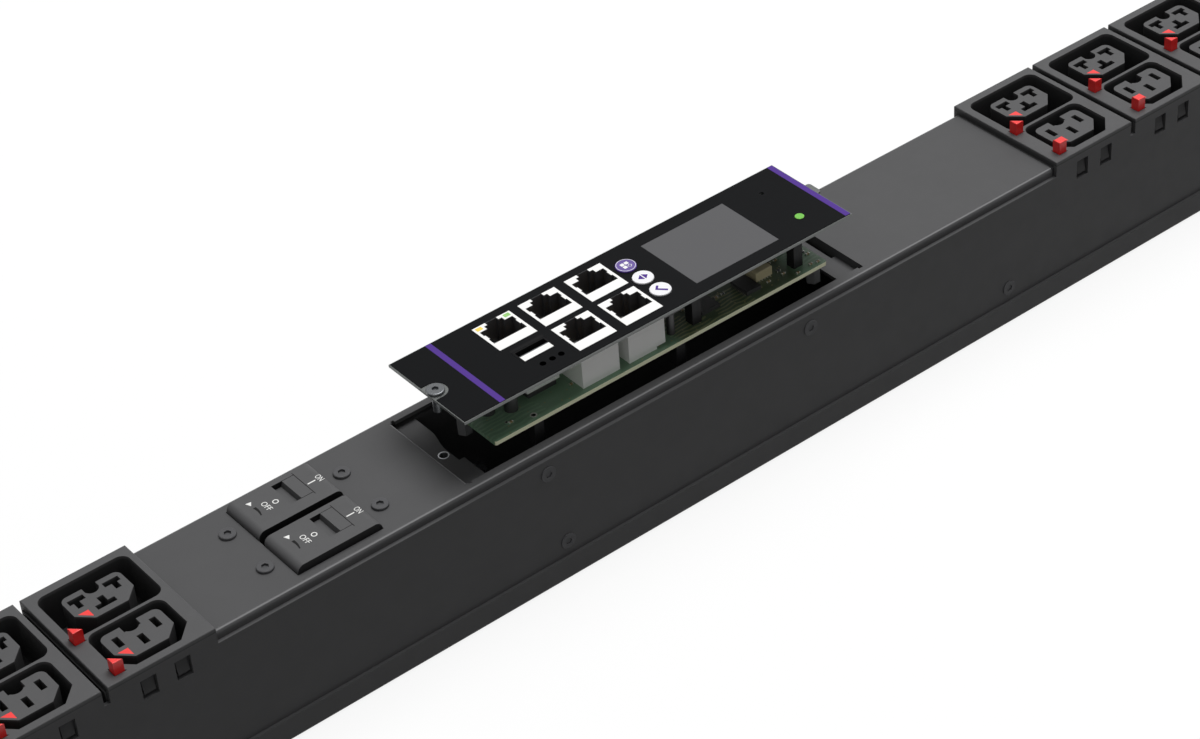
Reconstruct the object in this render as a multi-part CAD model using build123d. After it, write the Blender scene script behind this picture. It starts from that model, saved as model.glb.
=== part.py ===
from build123d import *
import math
import os

os.makedirs("parts", exist_ok=True)

# Rack power distribution unit for the side of a server rack, in millimetres.
# X runs along the unit, +Z is the outlet side, and the origin is the middle of the back face.

# Housing
modules_each_side = 3
body_width = 55.0            # outer faces of the channel's side walls
sheet = 1.5                  # steel of the channel and of the front cover
bend = 1.6                   # outside bend radius of the folded sheets
back_sheet = 1.2             # steel of the back cover
back_flange = 10.0           # height of the back cover's flanges
low_wall = 55.3              # top edge of the channel wall beside the front cover
high_wall = 60.0             # top edge of the channel wall beside the outlets
end_margin = 19.0            # from the last outlet block to the end cap
fit_gap = 0.1                # clearance round a piece set into the sheet metal

# Front cover
cover_top = 58.8
cover_length = 374.4
cover_flange = 15.0
cover_gap = 0.7              # between the front cover and the first outlet block

# Outlet blocks
block_length = 40.0
block_gap = 2.4              # between the heads of two neighbours
block_top = 61.8
block_step = 3.0             # height of the block's head above its shoulder
block_bottom = 36.0
shoulder_gap = 0.2           # between the shoulders of two neighbours
well_depth = 17.0
core_drop = 0.5              # core face below the block's face
slot_depth = 12.0
outlet_x = 0.7               # both outlets' centre line from the block's middle
near_wall = 1.3              # block's outer wall beside the narrow wells
far_wall = 1.9               # and beside the wide wells
well_web = 1.2               # wall between the two wells
well_lengths = (28.6, 34.4)
well_share = 0.468           # narrow well's share of the width that the walls leave
large_well_radius = 3.6
core_size = (22.2, 15.1)
small_core_shift = 0.5       # core's centre from its well's
large_core_shift = -0.1
core_chamfer = 5.0
well_chamfer = 6.0
well_radius = 3.8
core_radius = 2.6
key_width = 6.2              # keyway in the core's far side
key_depth = 4.3
pin_pitch = 14.0
blade_slot = (2.3, 5.1)
blade_row = 1.8              # live and neutral slots from the core's centre
earth_row = -2.2
wide_flat = (5.9, 2.3)       # flat arms of the wide outlet's T slots, and their place
wide_flat_at = (6.6, 4.1)
wide_upright = (2.1, 3.4)    # upright arms
wide_upright_at = (7.1, 1.6)
wide_earth_flat = (7.2, 2.2)
wide_earth_flat_y = -3.8
wide_earth_upright = (2.4, 3.4)
wide_earth_upright_y = -1.2
wide_key_width = 5.2
window_size = (5.9, 7.9)
window_z = 53.2
window_pitch = 12.7
window_shift = 0.3
latch_reach = 1.2
latch_foot = 1.6             # latch hook above its window's lower edge
latch_head = 0.4             # and below its upper edge
latch_side = 0.8
head_round = 0.4

# Release buttons and lock pins
button_leg = 3.6
button_rise = 5.0
button_depth = 8.0
button_travel = 2.0
button_gap = 0.3
small_button_x = -15.3
small_button_inset = 0.3     # button's corner beyond the narrow well's near edge
large_button_x = -17.5
large_button_inset = 1.3     # and before its far edge
lock_leg = 3.8
lock_depth = 1.2
lock_inset = 0.9             # lock pin's corner from the core's chamfer
clip_sheet = 0.4             # brass of the receptacle clips
clip_width = 3.0
clip_height = 8.0

# Circuit breakers
breaker_inset = 51.7         # breakers' middle from the front cover's end
breaker_pitch = 22.8
breaker_size = (33.6, 19.8)
breaker_top = 61.8
breaker_bottom = 16.0
breaker_end_radius = 2.6
rocker_size = (9.1, 12.2)
rocker_offset = (4.4, 1.5)   # rocker window's centre from the breaker's
rocker_gap = 0.2
rocker_step = 2.1            # pressed half of the rocker below its flush half
rocker_ramp = (-0.3, -0.9)   # from the foot of the step to its edge, from the pivot
rocker_pin = 0.6
rocker_pin_gap = 0.05
rocker_skirt = 0.5           # straight side below the pivot
rocker_well = 8.0
tab_reach = 9.0              # breaker's mounting tabs
tab_width = 10.0
tab_thickness = 2.5
breaker_screw_pitch = (46.0, 22.4)
breaker_window_gap = 0.3

# Screws
screw_head = 3.05            # radius
screw_head_height = 1.0
flat_head_height = 0.4       # heads in the side walls
screw_shank = 1.5
screw_length = 5.0
driver_recess = 1.4
upper_screws = (-55.2, 64.0)
upper_screw_z = 49.4
lower_screw_pitch = 213.4
lower_screw_x = -49.6
lower_screw_z = 16.3
nut_radius = 3.2
nut_height = 2.4

# Controller bay in the front cover
bay_left = -84.2
bay_right = 94.1
bay_half = 21.9
bay_drop = 3.4
left_shelf = 9.6
right_shelf = 9.0
ledge_half = 22.7            # opening between the ledges along the bay
shelf_notch = 2.2
notch_span = (-6.7, 12.7)
notch_round = 12.0           # length over which the notch sweeps in
tongue_slot = (1.8, 15.0)    # slot at the foot of the bay's right wall
corner_relief = (2.0, 0.9)   # small cuts at the bay's corners
left_relief = 1.3
anchor = (-79.2, -1.0)
anchor_radius = 2.0
anchor_bore = 1.6
anchor_collar = 0.3
anchor_length = 5.0
anchor_rim = 1.2             # height of the collar under the shelf

# Controller module, drawn lifted clear of its bay
lift = 24.7                  # its face above the front cover
plate_left = -82.4
plate_length = 172.6
plate_width = 43.3
plate_thickness = 1.0
overlay_thickness = 0.2
overlay_border = 0.4
tongue = (1.9, 6.8)
board_depth = 16.5           # board's upper face below the controller's face
board_thickness = 1.6
board_left = -70.0
board_right = 79.5
board_half = 19.8
jack_size = (16.1, 16.2)
jack_columns = (-42.1, -22.3, -1.9)
jack_row = 9.45
jack_gap = 0.1
port_half = 7.05             # plug port, from the socket's centre
port_near = -3.6
port_far = 4.85
latch_half = 3.85            # step for the plug's latch
latch_end = 6.65
groove_half = 2.45           # groove that opens towards the far side
side_rib = (0.5, -0.4, 2.2)  # rib on both side walls: reach, near end, far end
port_depth = 12.0
groove_depth = 10.0
ledge_width = 1.3            # ledge along the port's near wall
ledge_drop = 1.6
foot_cut = (3.9, 1.0)        # cut under the sensor sockets' near right corner
usb_size = (13.6, 6.8)
usb_centre = (-41.4, -6.2)
usb_wall = 0.5
usb_tongue = 3.1
usb_depth = 11.0
usb_low = 2.8                # shell above the board
usb_base = (12.0, 5.2)
display_size = (38.0, 31.0)
display_x = 42.1
display_depth = 3.2
display_sink = 0.1           # window below the overlay's face
display_frame = (19.9, 71.6, 17.5)
push_x = 11.6
push_pitch = 9.55
push_radius = 3.9
push_rise = 0.5
push_round = 0.3
push_travel = 0.4
push_gap = 0.15
push_collar = 0.8
collar_gap = 0.05
collar_height = 1.0
key_stem = 1.5
switch_drop = 3.0            # tact switch's top below the plate
switch_gap = 0.05
switch_side = 6.0
switch_height = 2.0
carrier_sheet = 1.0
carrier_width = 10.0
carrier_reach = 1.6          # in steps of the keys' pitch
carrier_leg = 1.45
status_spot = (75.5, -10.1)
status_radius = 1.7
reset_spot = (75.4, 10.2)
reset_radius = 0.8
light_spots = (-43.9, -39.8, -36.0)
light_row = -14.4
light_radius = 1.1
captive_head = 3.3
captive_shank = 1.5
captive_rise = 1.0            # head above the plate
captive_hex = 1.3
captive_length = 8.3
captive_notch = 4.4
support_spots = ((21.9, -14.0), (69.6, -13.5), (21.9, 14.0), (69.6, 14.0))
support_side = 4.0
post_inset = 5.0
post_row = 16.0
post_radius = 2.2
spacer_spots = ((-50.8, -16.6), (11.9, -16.6), (-50.8, 14.0), (11.9, 14.0))
spacer_side = 4.0            # black feet under the board
spacer_low = 55.6
standoff_spots = ((76.5, -15.2), (-67.5, 2.0))
standoff_radius = 2.8        # hexagonal standoffs under the board
standoff_low = 57.6
pipe_stem = 2.5              # light pipes below the plate
pipe_rise = 0.2
board_blocks = ((45.0, 51.5, -16.0, -7.0, 1.6), (52.6, 60.0, -12.0, -6.0, 3.6), (-61.0, -55.0, 2.0, 14.0, 2.0),
                (26.0, 34.0, -14.0, -6.0, 1.4))
board_cans = ((74.5, 4.0), (-62.0, -5.0), (-55.0, -9.0))
can_radius = 2.5
can_height = 7.0

# Inner electrical parts
bar_section = (3.0, 8.0)
bar_rows = (-14.0, 0.0, 14.0)
bar_overrun = 4.0            # bus bar beyond the outlet blocks
terminal_size = (22.0, 44.0, 22.0)
terminal_inset = 5.0         # terminal block from the front cover's end
terminal_port = (6.0, 14.0, 4.0)
terminal_screw = 3.0

# Ends
cap_thickness = 3.0
cap_plug = 6.0
cap_plug_gap = 0.15
cap_wall = 2.5
cap_corner = 2.0
cap_round = 1.0
gland_z = 30.0
gland_bore = 9.0
gland_thread = 15.9
gland_gap = 0.6
gland_flats = 36.0
gland_dome = 14.0
gland_hexagon = 8.0
gland_round = 5.0
lock_nut_height = 4.0
mounting_pitch = 580.0
mounting_bore = 2.1
mounting_nut = 3.5
mounting_nut_length = 8.0
mounting_flange = 1.5
mounting_flange_height = 1.2

# Sizes worked out from the ones above
outer = body_width / 2
inner = outer - sheet
block_pitch = block_length + block_gap
breaker_x = breaker_inset - cover_length / 2
wells_near = fit_gap - inner + near_wall
wells_room = 2 * (inner - fit_gap) - near_wall - far_wall - well_web
small_well = (well_lengths[0], wells_room * well_share)
large_well = (well_lengths[1], wells_room - small_well[1])
small_well_y = wells_near + small_well[1] / 2
large_well_y = wells_near + small_well[1] + well_web + large_well[1] / 2
small_core_y = small_well_y + small_core_shift
large_core_y = large_well_y + large_core_shift
small_button = (small_button_x, wells_near + small_button_inset)
large_button = (large_button_x, wells_near + small_well[1] - large_button_inset)
block_start = cover_length / 2 + cover_gap
first_block = block_start + block_length / 2
last_block = first_block + (modules_each_side - 1) * block_pitch
half_length = last_block + block_length / 2 + end_margin
block_centres = sorted(s * (first_block + i * block_pitch) for s in (-1, 1) for i in range(modules_each_side))
face_z = cover_top + lift
plate_top = face_z - overlay_thickness
plate_low = plate_top - plate_thickness
board_top = face_z - board_depth
board_low = board_top - board_thickness
shelf_top = cover_top - bay_drop
floor_top = back_sheet + sheet


def block(x0, x1, y0, y1, z0, z1):
    """A box between two corners."""
    return Pos((x0 + x1) / 2, (y0 + y1) / 2, (z0 + z1) / 2) * Box(x1 - x0, y1 - y0, z1 - z0)


def prism(outline, z0, z1):
    """An outline in XY raised from z0 to z1."""
    return Pos(0, 0, z0) * extrude(outline, z1 - z0)


def bar_along_x(outline, x0, x1):
    """An outline in YZ carried from x0 to x1."""
    return Pos(x0, 0, 0) * extrude(Plane.YZ * outline, x1 - x0)


def rod(x, y, z0, z1, radius):
    """A round bar along Z."""
    return Pos(x, y, (z0 + z1) / 2) * Cylinder(radius, z1 - z0)


def save(shape, node):
    """Writes a piece to its own file."""
    export_step(shape, f"parts/{node}.step")


def corner_at(sketch, x_side, y_side):
    """The vertex of an outline that lies furthest towards one corner."""
    return max(sketch.vertices(), key=lambda v: x_side * v.X + y_side * v.Y)


def folded_channel(width, top, bottom, length, thickness):
    """A sheet folded into a U that opens upwards, along X."""
    shell = Pos(0, 0, (top + bottom) / 2) * Box(length, width, top - bottom)
    shell = fillet(shell.edges().filter_by(Axis.X).group_by(Axis.Z)[0], bend)
    hollow = block(-length, length, -width / 2 + thickness, width / 2 - thickness, bottom + thickness, top + 1)
    hollow = fillet(hollow.edges().filter_by(Axis.X).group_by(Axis.Z)[0], max(bend - thickness, 0.3))
    return shell - hollow


def screw_places():
    """Side wall screws as (x, z, side)."""
    lower = [lower_screw_x + lower_screw_pitch * i for i in range(-8, 9)]
    lower = [x for x in lower if abs(x) < half_length - end_margin]
    places = [(x, upper_screw_z) for x in upper_screws] + [(x, lower_screw_z) for x in lower]
    return [(x, z, side) for x, z in places for side in (-1, 1)]


def make_base_channel():
    """Steel channel whose walls rise beside the outlets, with a window for each block's latch."""
    channel = folded_channel(body_width, high_wall, back_sheet, 2 * half_length, sheet)
    wall_y = outer + 1
    channel -= block(-block_start, block_start, -wall_y, wall_y, low_wall, high_wall + 1)
    for side in (-1, 1):
        end = side * (last_block + block_length / 2)
        channel -= block(min(end, side * 999), max(end, side * 999), -wall_y, wall_y, low_wall, high_wall + 1)
    for i in range(len(block_centres) - 1):
        x = (block_centres[i] + block_centres[i + 1]) / 2
        half_gap = (block_pitch - block_length) / 2
        if abs(x) > block_start:
            channel -= block(x - half_gap, x + half_gap, -wall_y, wall_y, low_wall, high_wall + 1)
    width, height = window_size
    for x in block_centres:
        for side in (-1, 1):
            middle = x + window_shift + side * window_pitch / 2
            channel -= block(middle - width / 2, middle + width / 2, -wall_y, wall_y,
                             window_z - height / 2, window_z + height / 2)
    for x, z, side in screw_places():
        channel -= Pos(x, side * outer, z) * Rot(90, 0, 0) * Cylinder(screw_shank, 4 * sheet)
    for side in (-1, 1):
        channel -= rod(side * mounting_pitch / 2, 0, 0, floor_top + 1, mounting_nut)
    return channel


def make_back_cover():
    """Shallow steel tray that wraps the channel's lower edges."""
    cover = folded_channel(body_width + 2 * back_sheet, back_flange, 0, 2 * half_length, back_sheet)
    for side in (-1, 1):
        cover -= rod(side * mounting_pitch / 2, 0, -1, floor_top + 1, mounting_nut)
    return cover


def bay_opening():
    """Through opening of the bay, with the notch that clears the captive screw's anchor."""
    left = bay_left + left_shelf
    right = bay_right - right_shelf
    opening = block(left, right, -ledge_half, ledge_half, 0, shelf_top)
    near, far = notch_span
    deep = left - shelf_notch
    sweep = Spline((left, far), (deep, far - notch_round), tangents=((0, -1), (0, -1)))
    edge = Polyline((deep, far - notch_round), (deep, near), (left, near), (left + 1, near), (left + 1, far),
                    (left, far))
    slot_x = bay_right - tongue_slot[0]
    slot = block(slot_x, bay_right, -tongue_slot[1] / 2, tongue_slot[1] / 2, 0, shelf_top)
    return opening + prism(make_face([sweep, edge]), 0, cover_top + 1) + slot


def make_front_cover():
    """Folded steel cover between the outlets, with a sunk bay for the controller."""
    width = body_width - 2 * sheet
    z_low = cover_top - cover_flange
    shell = Pos(0, 0, (cover_top + z_low) / 2) * Box(cover_length, width, cover_flange)
    shell = fillet(shell.edges().filter_by(Axis.X).group_by(Axis.Z)[-1], bend)
    cover = shell - block(-cover_length, cover_length, sheet - width / 2, width / 2 - sheet,
                          z_low - 1, cover_top - sheet)
    side = width / 2 - sheet
    cover += block(bay_left - sheet, bay_right + sheet, -side, side, shelf_top - sheet, cover_top - sheet)
    cover -= block(bay_left, bay_right, -side, side, shelf_top, cover_top - sheet)
    cover -= block(bay_left, bay_right, -bay_half, bay_half, shelf_top, cover_top + 1)
    lip = [e for e in cover.edges().filter_by(Axis.Y)
           if abs(e.center().X - bay_left) < 0.01 and abs(e.center().Z - cover_top) < 0.01]
    cover = fillet(lip, bend - 0.2)
    cut_x, cut_y = corner_relief
    reach = bay_half + cut_y
    cover -= block(bay_right - cut_x, bay_right, -reach, reach, shelf_top, cover_top + 1)
    cover -= block(bay_left, bay_left + left_relief, -reach, reach, shelf_top, cover_top + 1)
    cover -= bay_opening()
    length, _ = breaker_size
    half = breaker_pitch / 2 + breaker_size[1] / 2 + breaker_window_gap
    cover -= block(breaker_x - length / 2 - breaker_window_gap, breaker_x + length / 2 + breaker_window_gap,
                   -half, half, z_low, cover_top + 1)
    for x, y in breaker_screw_spots():
        cover -= rod(x, y, z_low, cover_top + 1, screw_shank)
    for x in upper_screws:
        cover -= Pos(x, 0, upper_screw_z) * Rot(90, 0, 0) * Cylinder(screw_shank, body_width)
    cover -= rod(anchor[0], anchor[1], z_low, cover_top, anchor_radius)
    return cover


def make_anchor_nut():
    """Pressed-in threaded bush that takes the controller's captive screw."""
    bush = rod(*anchor, shelf_top - anchor_length, shelf_top, anchor_radius)
    bush += rod(*anchor, shelf_top - sheet - anchor_rim, shelf_top - sheet, anchor_radius + anchor_collar)
    return bush - rod(*anchor, 0, cover_top, anchor_bore)


def core_outline(x, y, key):
    """Outlet core: two chamfered near corners, rounded far corners and a keyway in the far side."""
    sketch = Rectangle(*core_size)
    sketch = chamfer([corner_at(sketch, -1, -1), corner_at(sketch, 1, -1)], core_chamfer)
    far = [corner_at(sketch, -1, 1.2), corner_at(sketch, 1, 1.2)]
    sketch = fillet(far, core_radius)
    slot = Pos(0, core_size[1] / 2 - key_depth / 2 + key / 4) * Rectangle(key, key_depth - key / 2)
    slot += Pos(0, core_size[1] / 2 - key_depth + key / 2) * Circle(key / 2)
    slot += Pos(0, core_size[1] / 2) * Rectangle(key, key)
    return Pos(x, y) * (sketch - slot)


def small_well_outline():
    """Cavity of the narrow outlet, shaped like its plug."""
    sketch = Rectangle(*small_well)
    sketch = chamfer([corner_at(sketch, -1, -1), corner_at(sketch, 1, -1)], well_chamfer)
    sketch = fillet([corner_at(sketch, -1, 1.2), corner_at(sketch, 1, 1.2)], well_radius)
    return Pos(outlet_x, small_well_y) * sketch


def small_slots():
    """Three upright blade slots."""
    slots = Sketch()
    for x, y in ((-pin_pitch / 2, blade_row), (pin_pitch / 2, blade_row), (0, earth_row)):
        slots += Pos(outlet_x + x, small_core_y + y) * Rectangle(*blade_slot)
    return slots


def large_slots():
    """Three T-shaped slots that take both upright and flat blades."""
    slots = Sketch()
    for side in (-1, 1):
        slots += Pos(outlet_x + side * wide_flat_at[0], large_core_y + wide_flat_at[1]) * Rectangle(*wide_flat)
        upright = Pos(outlet_x + side * wide_upright_at[0], large_core_y + wide_upright_at[1])
        slots += upright * Rectangle(*wide_upright)
    slots += Pos(outlet_x, large_core_y + wide_earth_flat_y) * Rectangle(*wide_earth_flat)
    slots += Pos(outlet_x, large_core_y + wide_earth_upright_y) * Rectangle(*wide_earth_upright)
    return slots


def corner_triangle(corner, leg):
    """Right-angled triangle whose legs run towards +X and +Y from its corner."""
    x, y = corner
    return make_face(Polyline((x, y), (x + leg, y), (x, y + leg), close=True))


def lock_corner(core_y):
    """Right-angled corner of a lock pin, inside the core's near left chamfer."""
    middle_x = outlet_x - core_size[0] / 2 + core_chamfer / 2
    middle_y = core_y - core_size[1] / 2 + core_chamfer / 2
    inset = lock_inset / math.sqrt(2) + lock_leg / 2
    return middle_x + inset, middle_y + inset


def lock_triangle(core_y):
    """Lock pin's face: its long side runs along the core's chamfer."""
    x, y = lock_corner(core_y)
    return make_face(Polyline((x, y), (x - lock_leg, y), (x, y - lock_leg), close=True))


def wide_button(corner, leg, gap):
    """Button's outline grown evenly by a clearance."""
    x, y = corner
    grow = gap * (2 + math.sqrt(2))
    return corner_triangle((x - gap, y - gap), leg + grow)


def outlet_block_local():
    """One moulded block about its own centre line: two wells with keyed cores, and snap latches."""
    head = block(-block_length / 2, block_length / 2, -outer, outer, high_wall, block_top)
    neck = block(-block_length / 2, block_length / 2, -inner + fit_gap, inner - fit_gap,
                 block_top - block_step, high_wall)
    half_shoulder = (block_pitch - shoulder_gap) / 2
    half_body = min(half_shoulder, block_length / 2 + cover_gap - fit_gap)
    trunk = block(-half_body, half_body, -inner + fit_gap, inner - fit_gap, block_bottom, block_top - block_step)
    head = fillet(head.edges().group_by(Axis.Z)[-1], head_round)
    body = head + neck + trunk
    floor_z = block_top - well_depth
    wells = small_well_outline()
    large = RectangleRounded(*large_well, large_well_radius)
    wells += Pos(outlet_x - 0.2, large_well_y) * large
    body -= prism(wells, floor_z, block_top + 1)
    cores = core_outline(outlet_x, small_core_y, key_width)
    cores += core_outline(outlet_x, large_core_y, wide_key_width)
    body += prism(cores, floor_z - 0.5, block_top - core_drop)
    slots = small_slots() + large_slots()
    body -= prism(slots, block_top - core_drop - slot_depth, block_top)
    for corner in (small_button, large_button):
        hole = wide_button(corner, button_leg, button_gap)
        body -= prism(hole, block_top - button_depth - button_travel - button_gap, block_top + 1)
    for core_y in (small_core_y, large_core_y):
        body -= prism(lock_triangle(core_y), block_top - core_drop - lock_depth, block_top)
    width, height = window_size
    for end in (-1, 1):
        for side in (-1, 1):
            x = window_shift + end * window_pitch / 2
            low = window_z - height / 2 + latch_foot
            high = window_z + height / 2 - latch_head
            wall = side * (inner - fit_gap)
            hook = make_face(Polyline((wall, low), (wall + side * latch_reach, low), (wall, high), close=True))
            body += bar_along_x(hook, x - width / 2 + latch_side, x + width / 2 - latch_side)
    return body


def make_button(corner):
    """Triangular release button, standing proud of its block."""
    button = prism(corner_triangle(corner, button_leg), block_top - button_depth, block_top + button_rise)
    return fillet(button.edges().group_by(Axis.Z)[-1], 0.25)


def make_lock_pins():
    """Small triangular pins set into every core."""
    pins = []
    for x in block_centres:
        for core_y in (small_core_y, large_core_y):
            pin = prism(lock_triangle(core_y), block_top - core_drop - lock_depth, block_top - core_drop)
            pins.append(Pos(x, 0, 0) * pin)
    return Compound(children=pins)


def make_contacts():
    """Brass receptacle clips at the foot of the blade slots."""
    clips = []
    z0 = block_top - core_drop - slot_depth
    spots = [(-pin_pitch / 2, small_core_y + blade_row), (pin_pitch / 2, small_core_y + blade_row),
             (0, small_core_y + earth_row)]
    for x in block_centres:
        for dx, y in spots:
            for side in (-1, 1):
                edge = side * blade_slot[0] / 2
                near, far = sorted((edge, edge - side * clip_sheet))
                middle = x + outlet_x + dx
                clips.append(block(middle + near, middle + far, y - clip_width / 2, y + clip_width / 2,
                                   z0, z0 + clip_height))
    return Compound(children=clips)


def make_bus_bars(y):
    """One conductor under each row of blocks."""
    width, height = bar_section
    bars = []
    for side in (-1, 1):
        near = side * (block_start - bar_overrun)
        far = side * (last_block + block_length / 2 + bar_overrun)
        bars.append(block(min(near, far), max(near, far), y - width / 2, y + width / 2,
                          block_bottom - height, block_bottom))
    return Compound(children=bars)


def breaker_y(side):
    """Centre of a breaker across the unit."""
    return side * breaker_pitch / 2


def rocker_centre(side):
    """Middle of a breaker's rocker window."""
    return breaker_x + rocker_offset[0], breaker_y(side) + rocker_offset[1]


def rocker_pivot_z():
    """Height of the rocker's pivot, level with its pressed half."""
    return breaker_top - rocker_step


def make_breaker(side):
    """Circuit breaker: a deep body whose head stands through the front cover."""
    length, width = breaker_size
    y = breaker_y(side)
    body = block(breaker_x - length / 2, breaker_x + length / 2, y - width / 2, y + width / 2,
                 breaker_bottom, breaker_top)
    ends = body.edges().filter_by(Axis.Y).group_by(Axis.Z)[-1]
    body = fillet(ends, breaker_end_radius)
    rx, ry = rocker_centre(side)
    body -= block(rx - rocker_size[0] / 2, rx + rocker_size[0] / 2, ry - rocker_size[1] / 2,
                  ry + rocker_size[1] / 2, breaker_top - rocker_well, breaker_top + 1)
    pin = Cylinder(rocker_pin + rocker_pin_gap, rocker_size[1] + 2.4)
    body -= Pos(rx, ry, rocker_pivot_z()) * Rot(90, 0, 0) * pin
    for end in (-1, 1):
        x0, x1 = sorted((breaker_x + end * length / 2, breaker_x + end * (length / 2 + tab_reach)))
        body += block(x0, x1, y - tab_width / 2, y + tab_width / 2, cover_top - sheet - tab_thickness,
                      cover_top - sheet)
    for x, sy in breaker_screw_spots():
        if sy * side > 0:
            body -= rod(x, sy, cover_top - sheet - 2 * tab_thickness, cover_top, screw_shank)
    return body


def make_rocker(side):
    """Rocker at ON: its right half is flush, its left half is sunk, and a half-round heel carries both."""
    rx, ry = rocker_centre(side)
    radius = rocker_size[0] / 2 - rocker_gap
    top_edge, foot_edge = rocker_ramp
    foot = math.sqrt(radius ** 2 - rocker_skirt ** 2)
    outline = Polyline((foot, -rocker_skirt), (foot, rocker_step), (top_edge, rocker_step), (foot_edge, 0),
                       (-foot, 0), (-foot, -rocker_skirt))
    heel = ThreePointArc((-foot, -rocker_skirt), (0, -radius), (foot, -rocker_skirt))
    face = make_face([outline, heel])
    width = rocker_size[1] - 2 * rocker_gap
    lever = Pos(0, width / 2, 0) * Rot(90, 0, 0) * extrude(face, width)
    lever += Rot(90, 0, 0) * Cylinder(rocker_pin, rocker_size[1] + 2)
    return Pos(rx, ry, rocker_pivot_z()) * lever


def low_screw(length, height):
    """Low-headed screw with its head above Z = 0."""
    head = rod(0, 0, 0, height, screw_head)
    head = fillet(head.edges().group_by(Axis.Z)[-1], height * 0.4)
    recess = prism(RegularPolygon(driver_recess, 6), height * 0.2, height + 1)
    return head - recess + rod(0, 0, -length, 0, screw_shank)


def breaker_screw_spots():
    """Four screws round the pair of breakers."""
    dx, dy = breaker_screw_pitch
    return [(breaker_x + sx * dx / 2, sy * dy / 2) for sx in (-1, 1) for sy in (-1, 1)]


def make_breaker_screws():
    """Screws that clamp the breakers' tabs under the front cover."""
    screw = low_screw(screw_length, screw_head_height)
    return Compound(children=[Pos(x, y, cover_top) * screw for x, y in breaker_screw_spots()])


def make_side_screws():
    """Screws in the channel's side walls."""
    screw = low_screw(screw_length, flat_head_height)
    screws = []
    for x, z, side in screw_places():
        screws.append(Pos(x, side * outer, z) * Rot(-90 * side, 0, 0) * screw)
    return Compound(children=screws)


def make_side_nuts():
    """Nuts behind the side wall screws; the upper ones sit behind the front cover's flange."""
    nuts = []
    for x, z, side in screw_places():
        seat = inner - sheet if z == upper_screw_z else inner
        nut = prism(RegularPolygon(nut_radius, 6) - Circle(screw_shank), 0, nut_height)
        nuts.append(Pos(x, side * seat, z) * Rot(90 * side, 0, 0) * nut)
    return Compound(children=nuts)


def make_mounting_nuts():
    """Threaded bushes in the back that take the rack's mounting buttons."""
    nuts = []
    for side in (-1, 1):
        bush = rod(side * mounting_pitch / 2, 0, 0, mounting_nut_length, mounting_nut)
        bush += rod(side * mounting_pitch / 2, 0, floor_top, floor_top + mounting_flange_height,
                    mounting_nut + mounting_flange)
        nuts.append(bush - rod(side * mounting_pitch / 2, 0, -1, mounting_nut_length + 1, mounting_bore))
    return Compound(children=nuts)


def make_end_cap(side):
    """Moulded cap that closes one end and plugs into the channel."""
    width = body_width + 2 * back_sheet
    face = Pos(0, cover_top / 2) * Rectangle(width, cover_top)
    face = fillet(face.vertices(), cap_corner)
    cap = bar_along_x(face, 0, cap_thickness)
    gap = inner - cap_plug_gap
    plug = block(-cap_plug, 0, -gap, gap, floor_top + cap_plug_gap, cover_top)
    plug -= block(-cap_plug - 1, 0, cap_wall - gap, gap - cap_wall, floor_top + cap_wall, cover_top - cap_wall)
    cap = fillet(cap.faces().sort_by(Axis.X)[-1].edges(), cap_round) + plug
    if side < 0:
        cap = Rot(0, 0, 180) * cap
        cap -= Pos(-cap_thickness / 2, 0, gland_z) * Rot(0, 90, 0) * Cylinder(gland_thread, 4 * cap_plug)
    return Pos(side * half_length, 0, 0) * cap


def make_end_lid(side):
    """Short steel lid between the last outlet block and the end cap."""
    start = last_block + block_length / 2 + cover_gap
    end = half_length - cap_plug - cap_plug_gap
    width = body_width - 2 * sheet
    lid = block(start, end, -width / 2, width / 2, cover_top - cover_flange, cover_top)
    lid = fillet(lid.edges().filter_by(Axis.X).group_by(Axis.Z)[-1], bend)
    lid -= block(start - 1, end + 1, sheet - width / 2, width / 2 - sheet, 0, cover_top - sheet)
    return lid if side > 0 else mirror(lid, Plane.YZ)


def make_gland():
    """Cable gland with a hexagon body, a domed nut and a clear bore."""
    hexagon = RegularPolygon(gland_flats / 2 / math.cos(math.pi / 6), 6)
    dome = rod(0, 0, gland_hexagon, gland_hexagon + gland_dome, gland_thread + gland_gap)
    dome = fillet(dome.edges().group_by(Axis.Z)[-1], gland_round)
    gland = prism(hexagon, 0, gland_hexagon) + dome
    gland += rod(0, 0, -cap_thickness - cap_plug, 0, gland_thread - fit_gap)
    gland -= rod(0, 0, -20, 40, gland_bore)
    return Pos(-half_length - cap_thickness, 0, gland_z) * Rot(0, -90, 0) * gland


def make_gland_nut():
    """Lock nut inside the end cap."""
    hexagon = RegularPolygon(gland_flats / 2 / math.cos(math.pi / 6), 6)
    nut = prism(hexagon - Circle(gland_thread - fit_gap), 0, lock_nut_height)
    return Pos(-half_length, 0, gland_z) * Rot(0, 90, 0) * nut


def make_terminal_block():
    """Terminal block where the supply's cores would be landed."""
    length, width, height = terminal_size
    x0 = -block_start + terminal_inset
    body = block(x0, x0 + length, -width / 2, width / 2, floor_top, floor_top + height)
    low, high, half = terminal_port
    for y in bar_rows:
        body -= block(x0 - 1, x0 + length + 1, y - half, y + half, floor_top + low, floor_top + high)
        body -= rod(x0 + length / 2, y, floor_top + high, floor_top + height + 1, terminal_screw)
    return body


def make_faceplate():
    """Steel plate of the controller with all its cut-outs and an end tongue."""
    right = plate_left + plate_length
    half = plate_width / 2
    plate = block(plate_left, right, -half, half, plate_low, plate_top)
    reach, width = tongue
    lug = block(right - 1, right + reach, -width / 2, width / 2, plate_low, plate_top)
    plate += fillet(lug.edges().filter_by(Axis.Z).group_by(Axis.X)[-1], 1.2)
    return plate - face_cutouts(plate_low - 1, plate_top + 1) - rod(*anchor, plate_low - 1, face_z, captive_shank)


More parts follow.
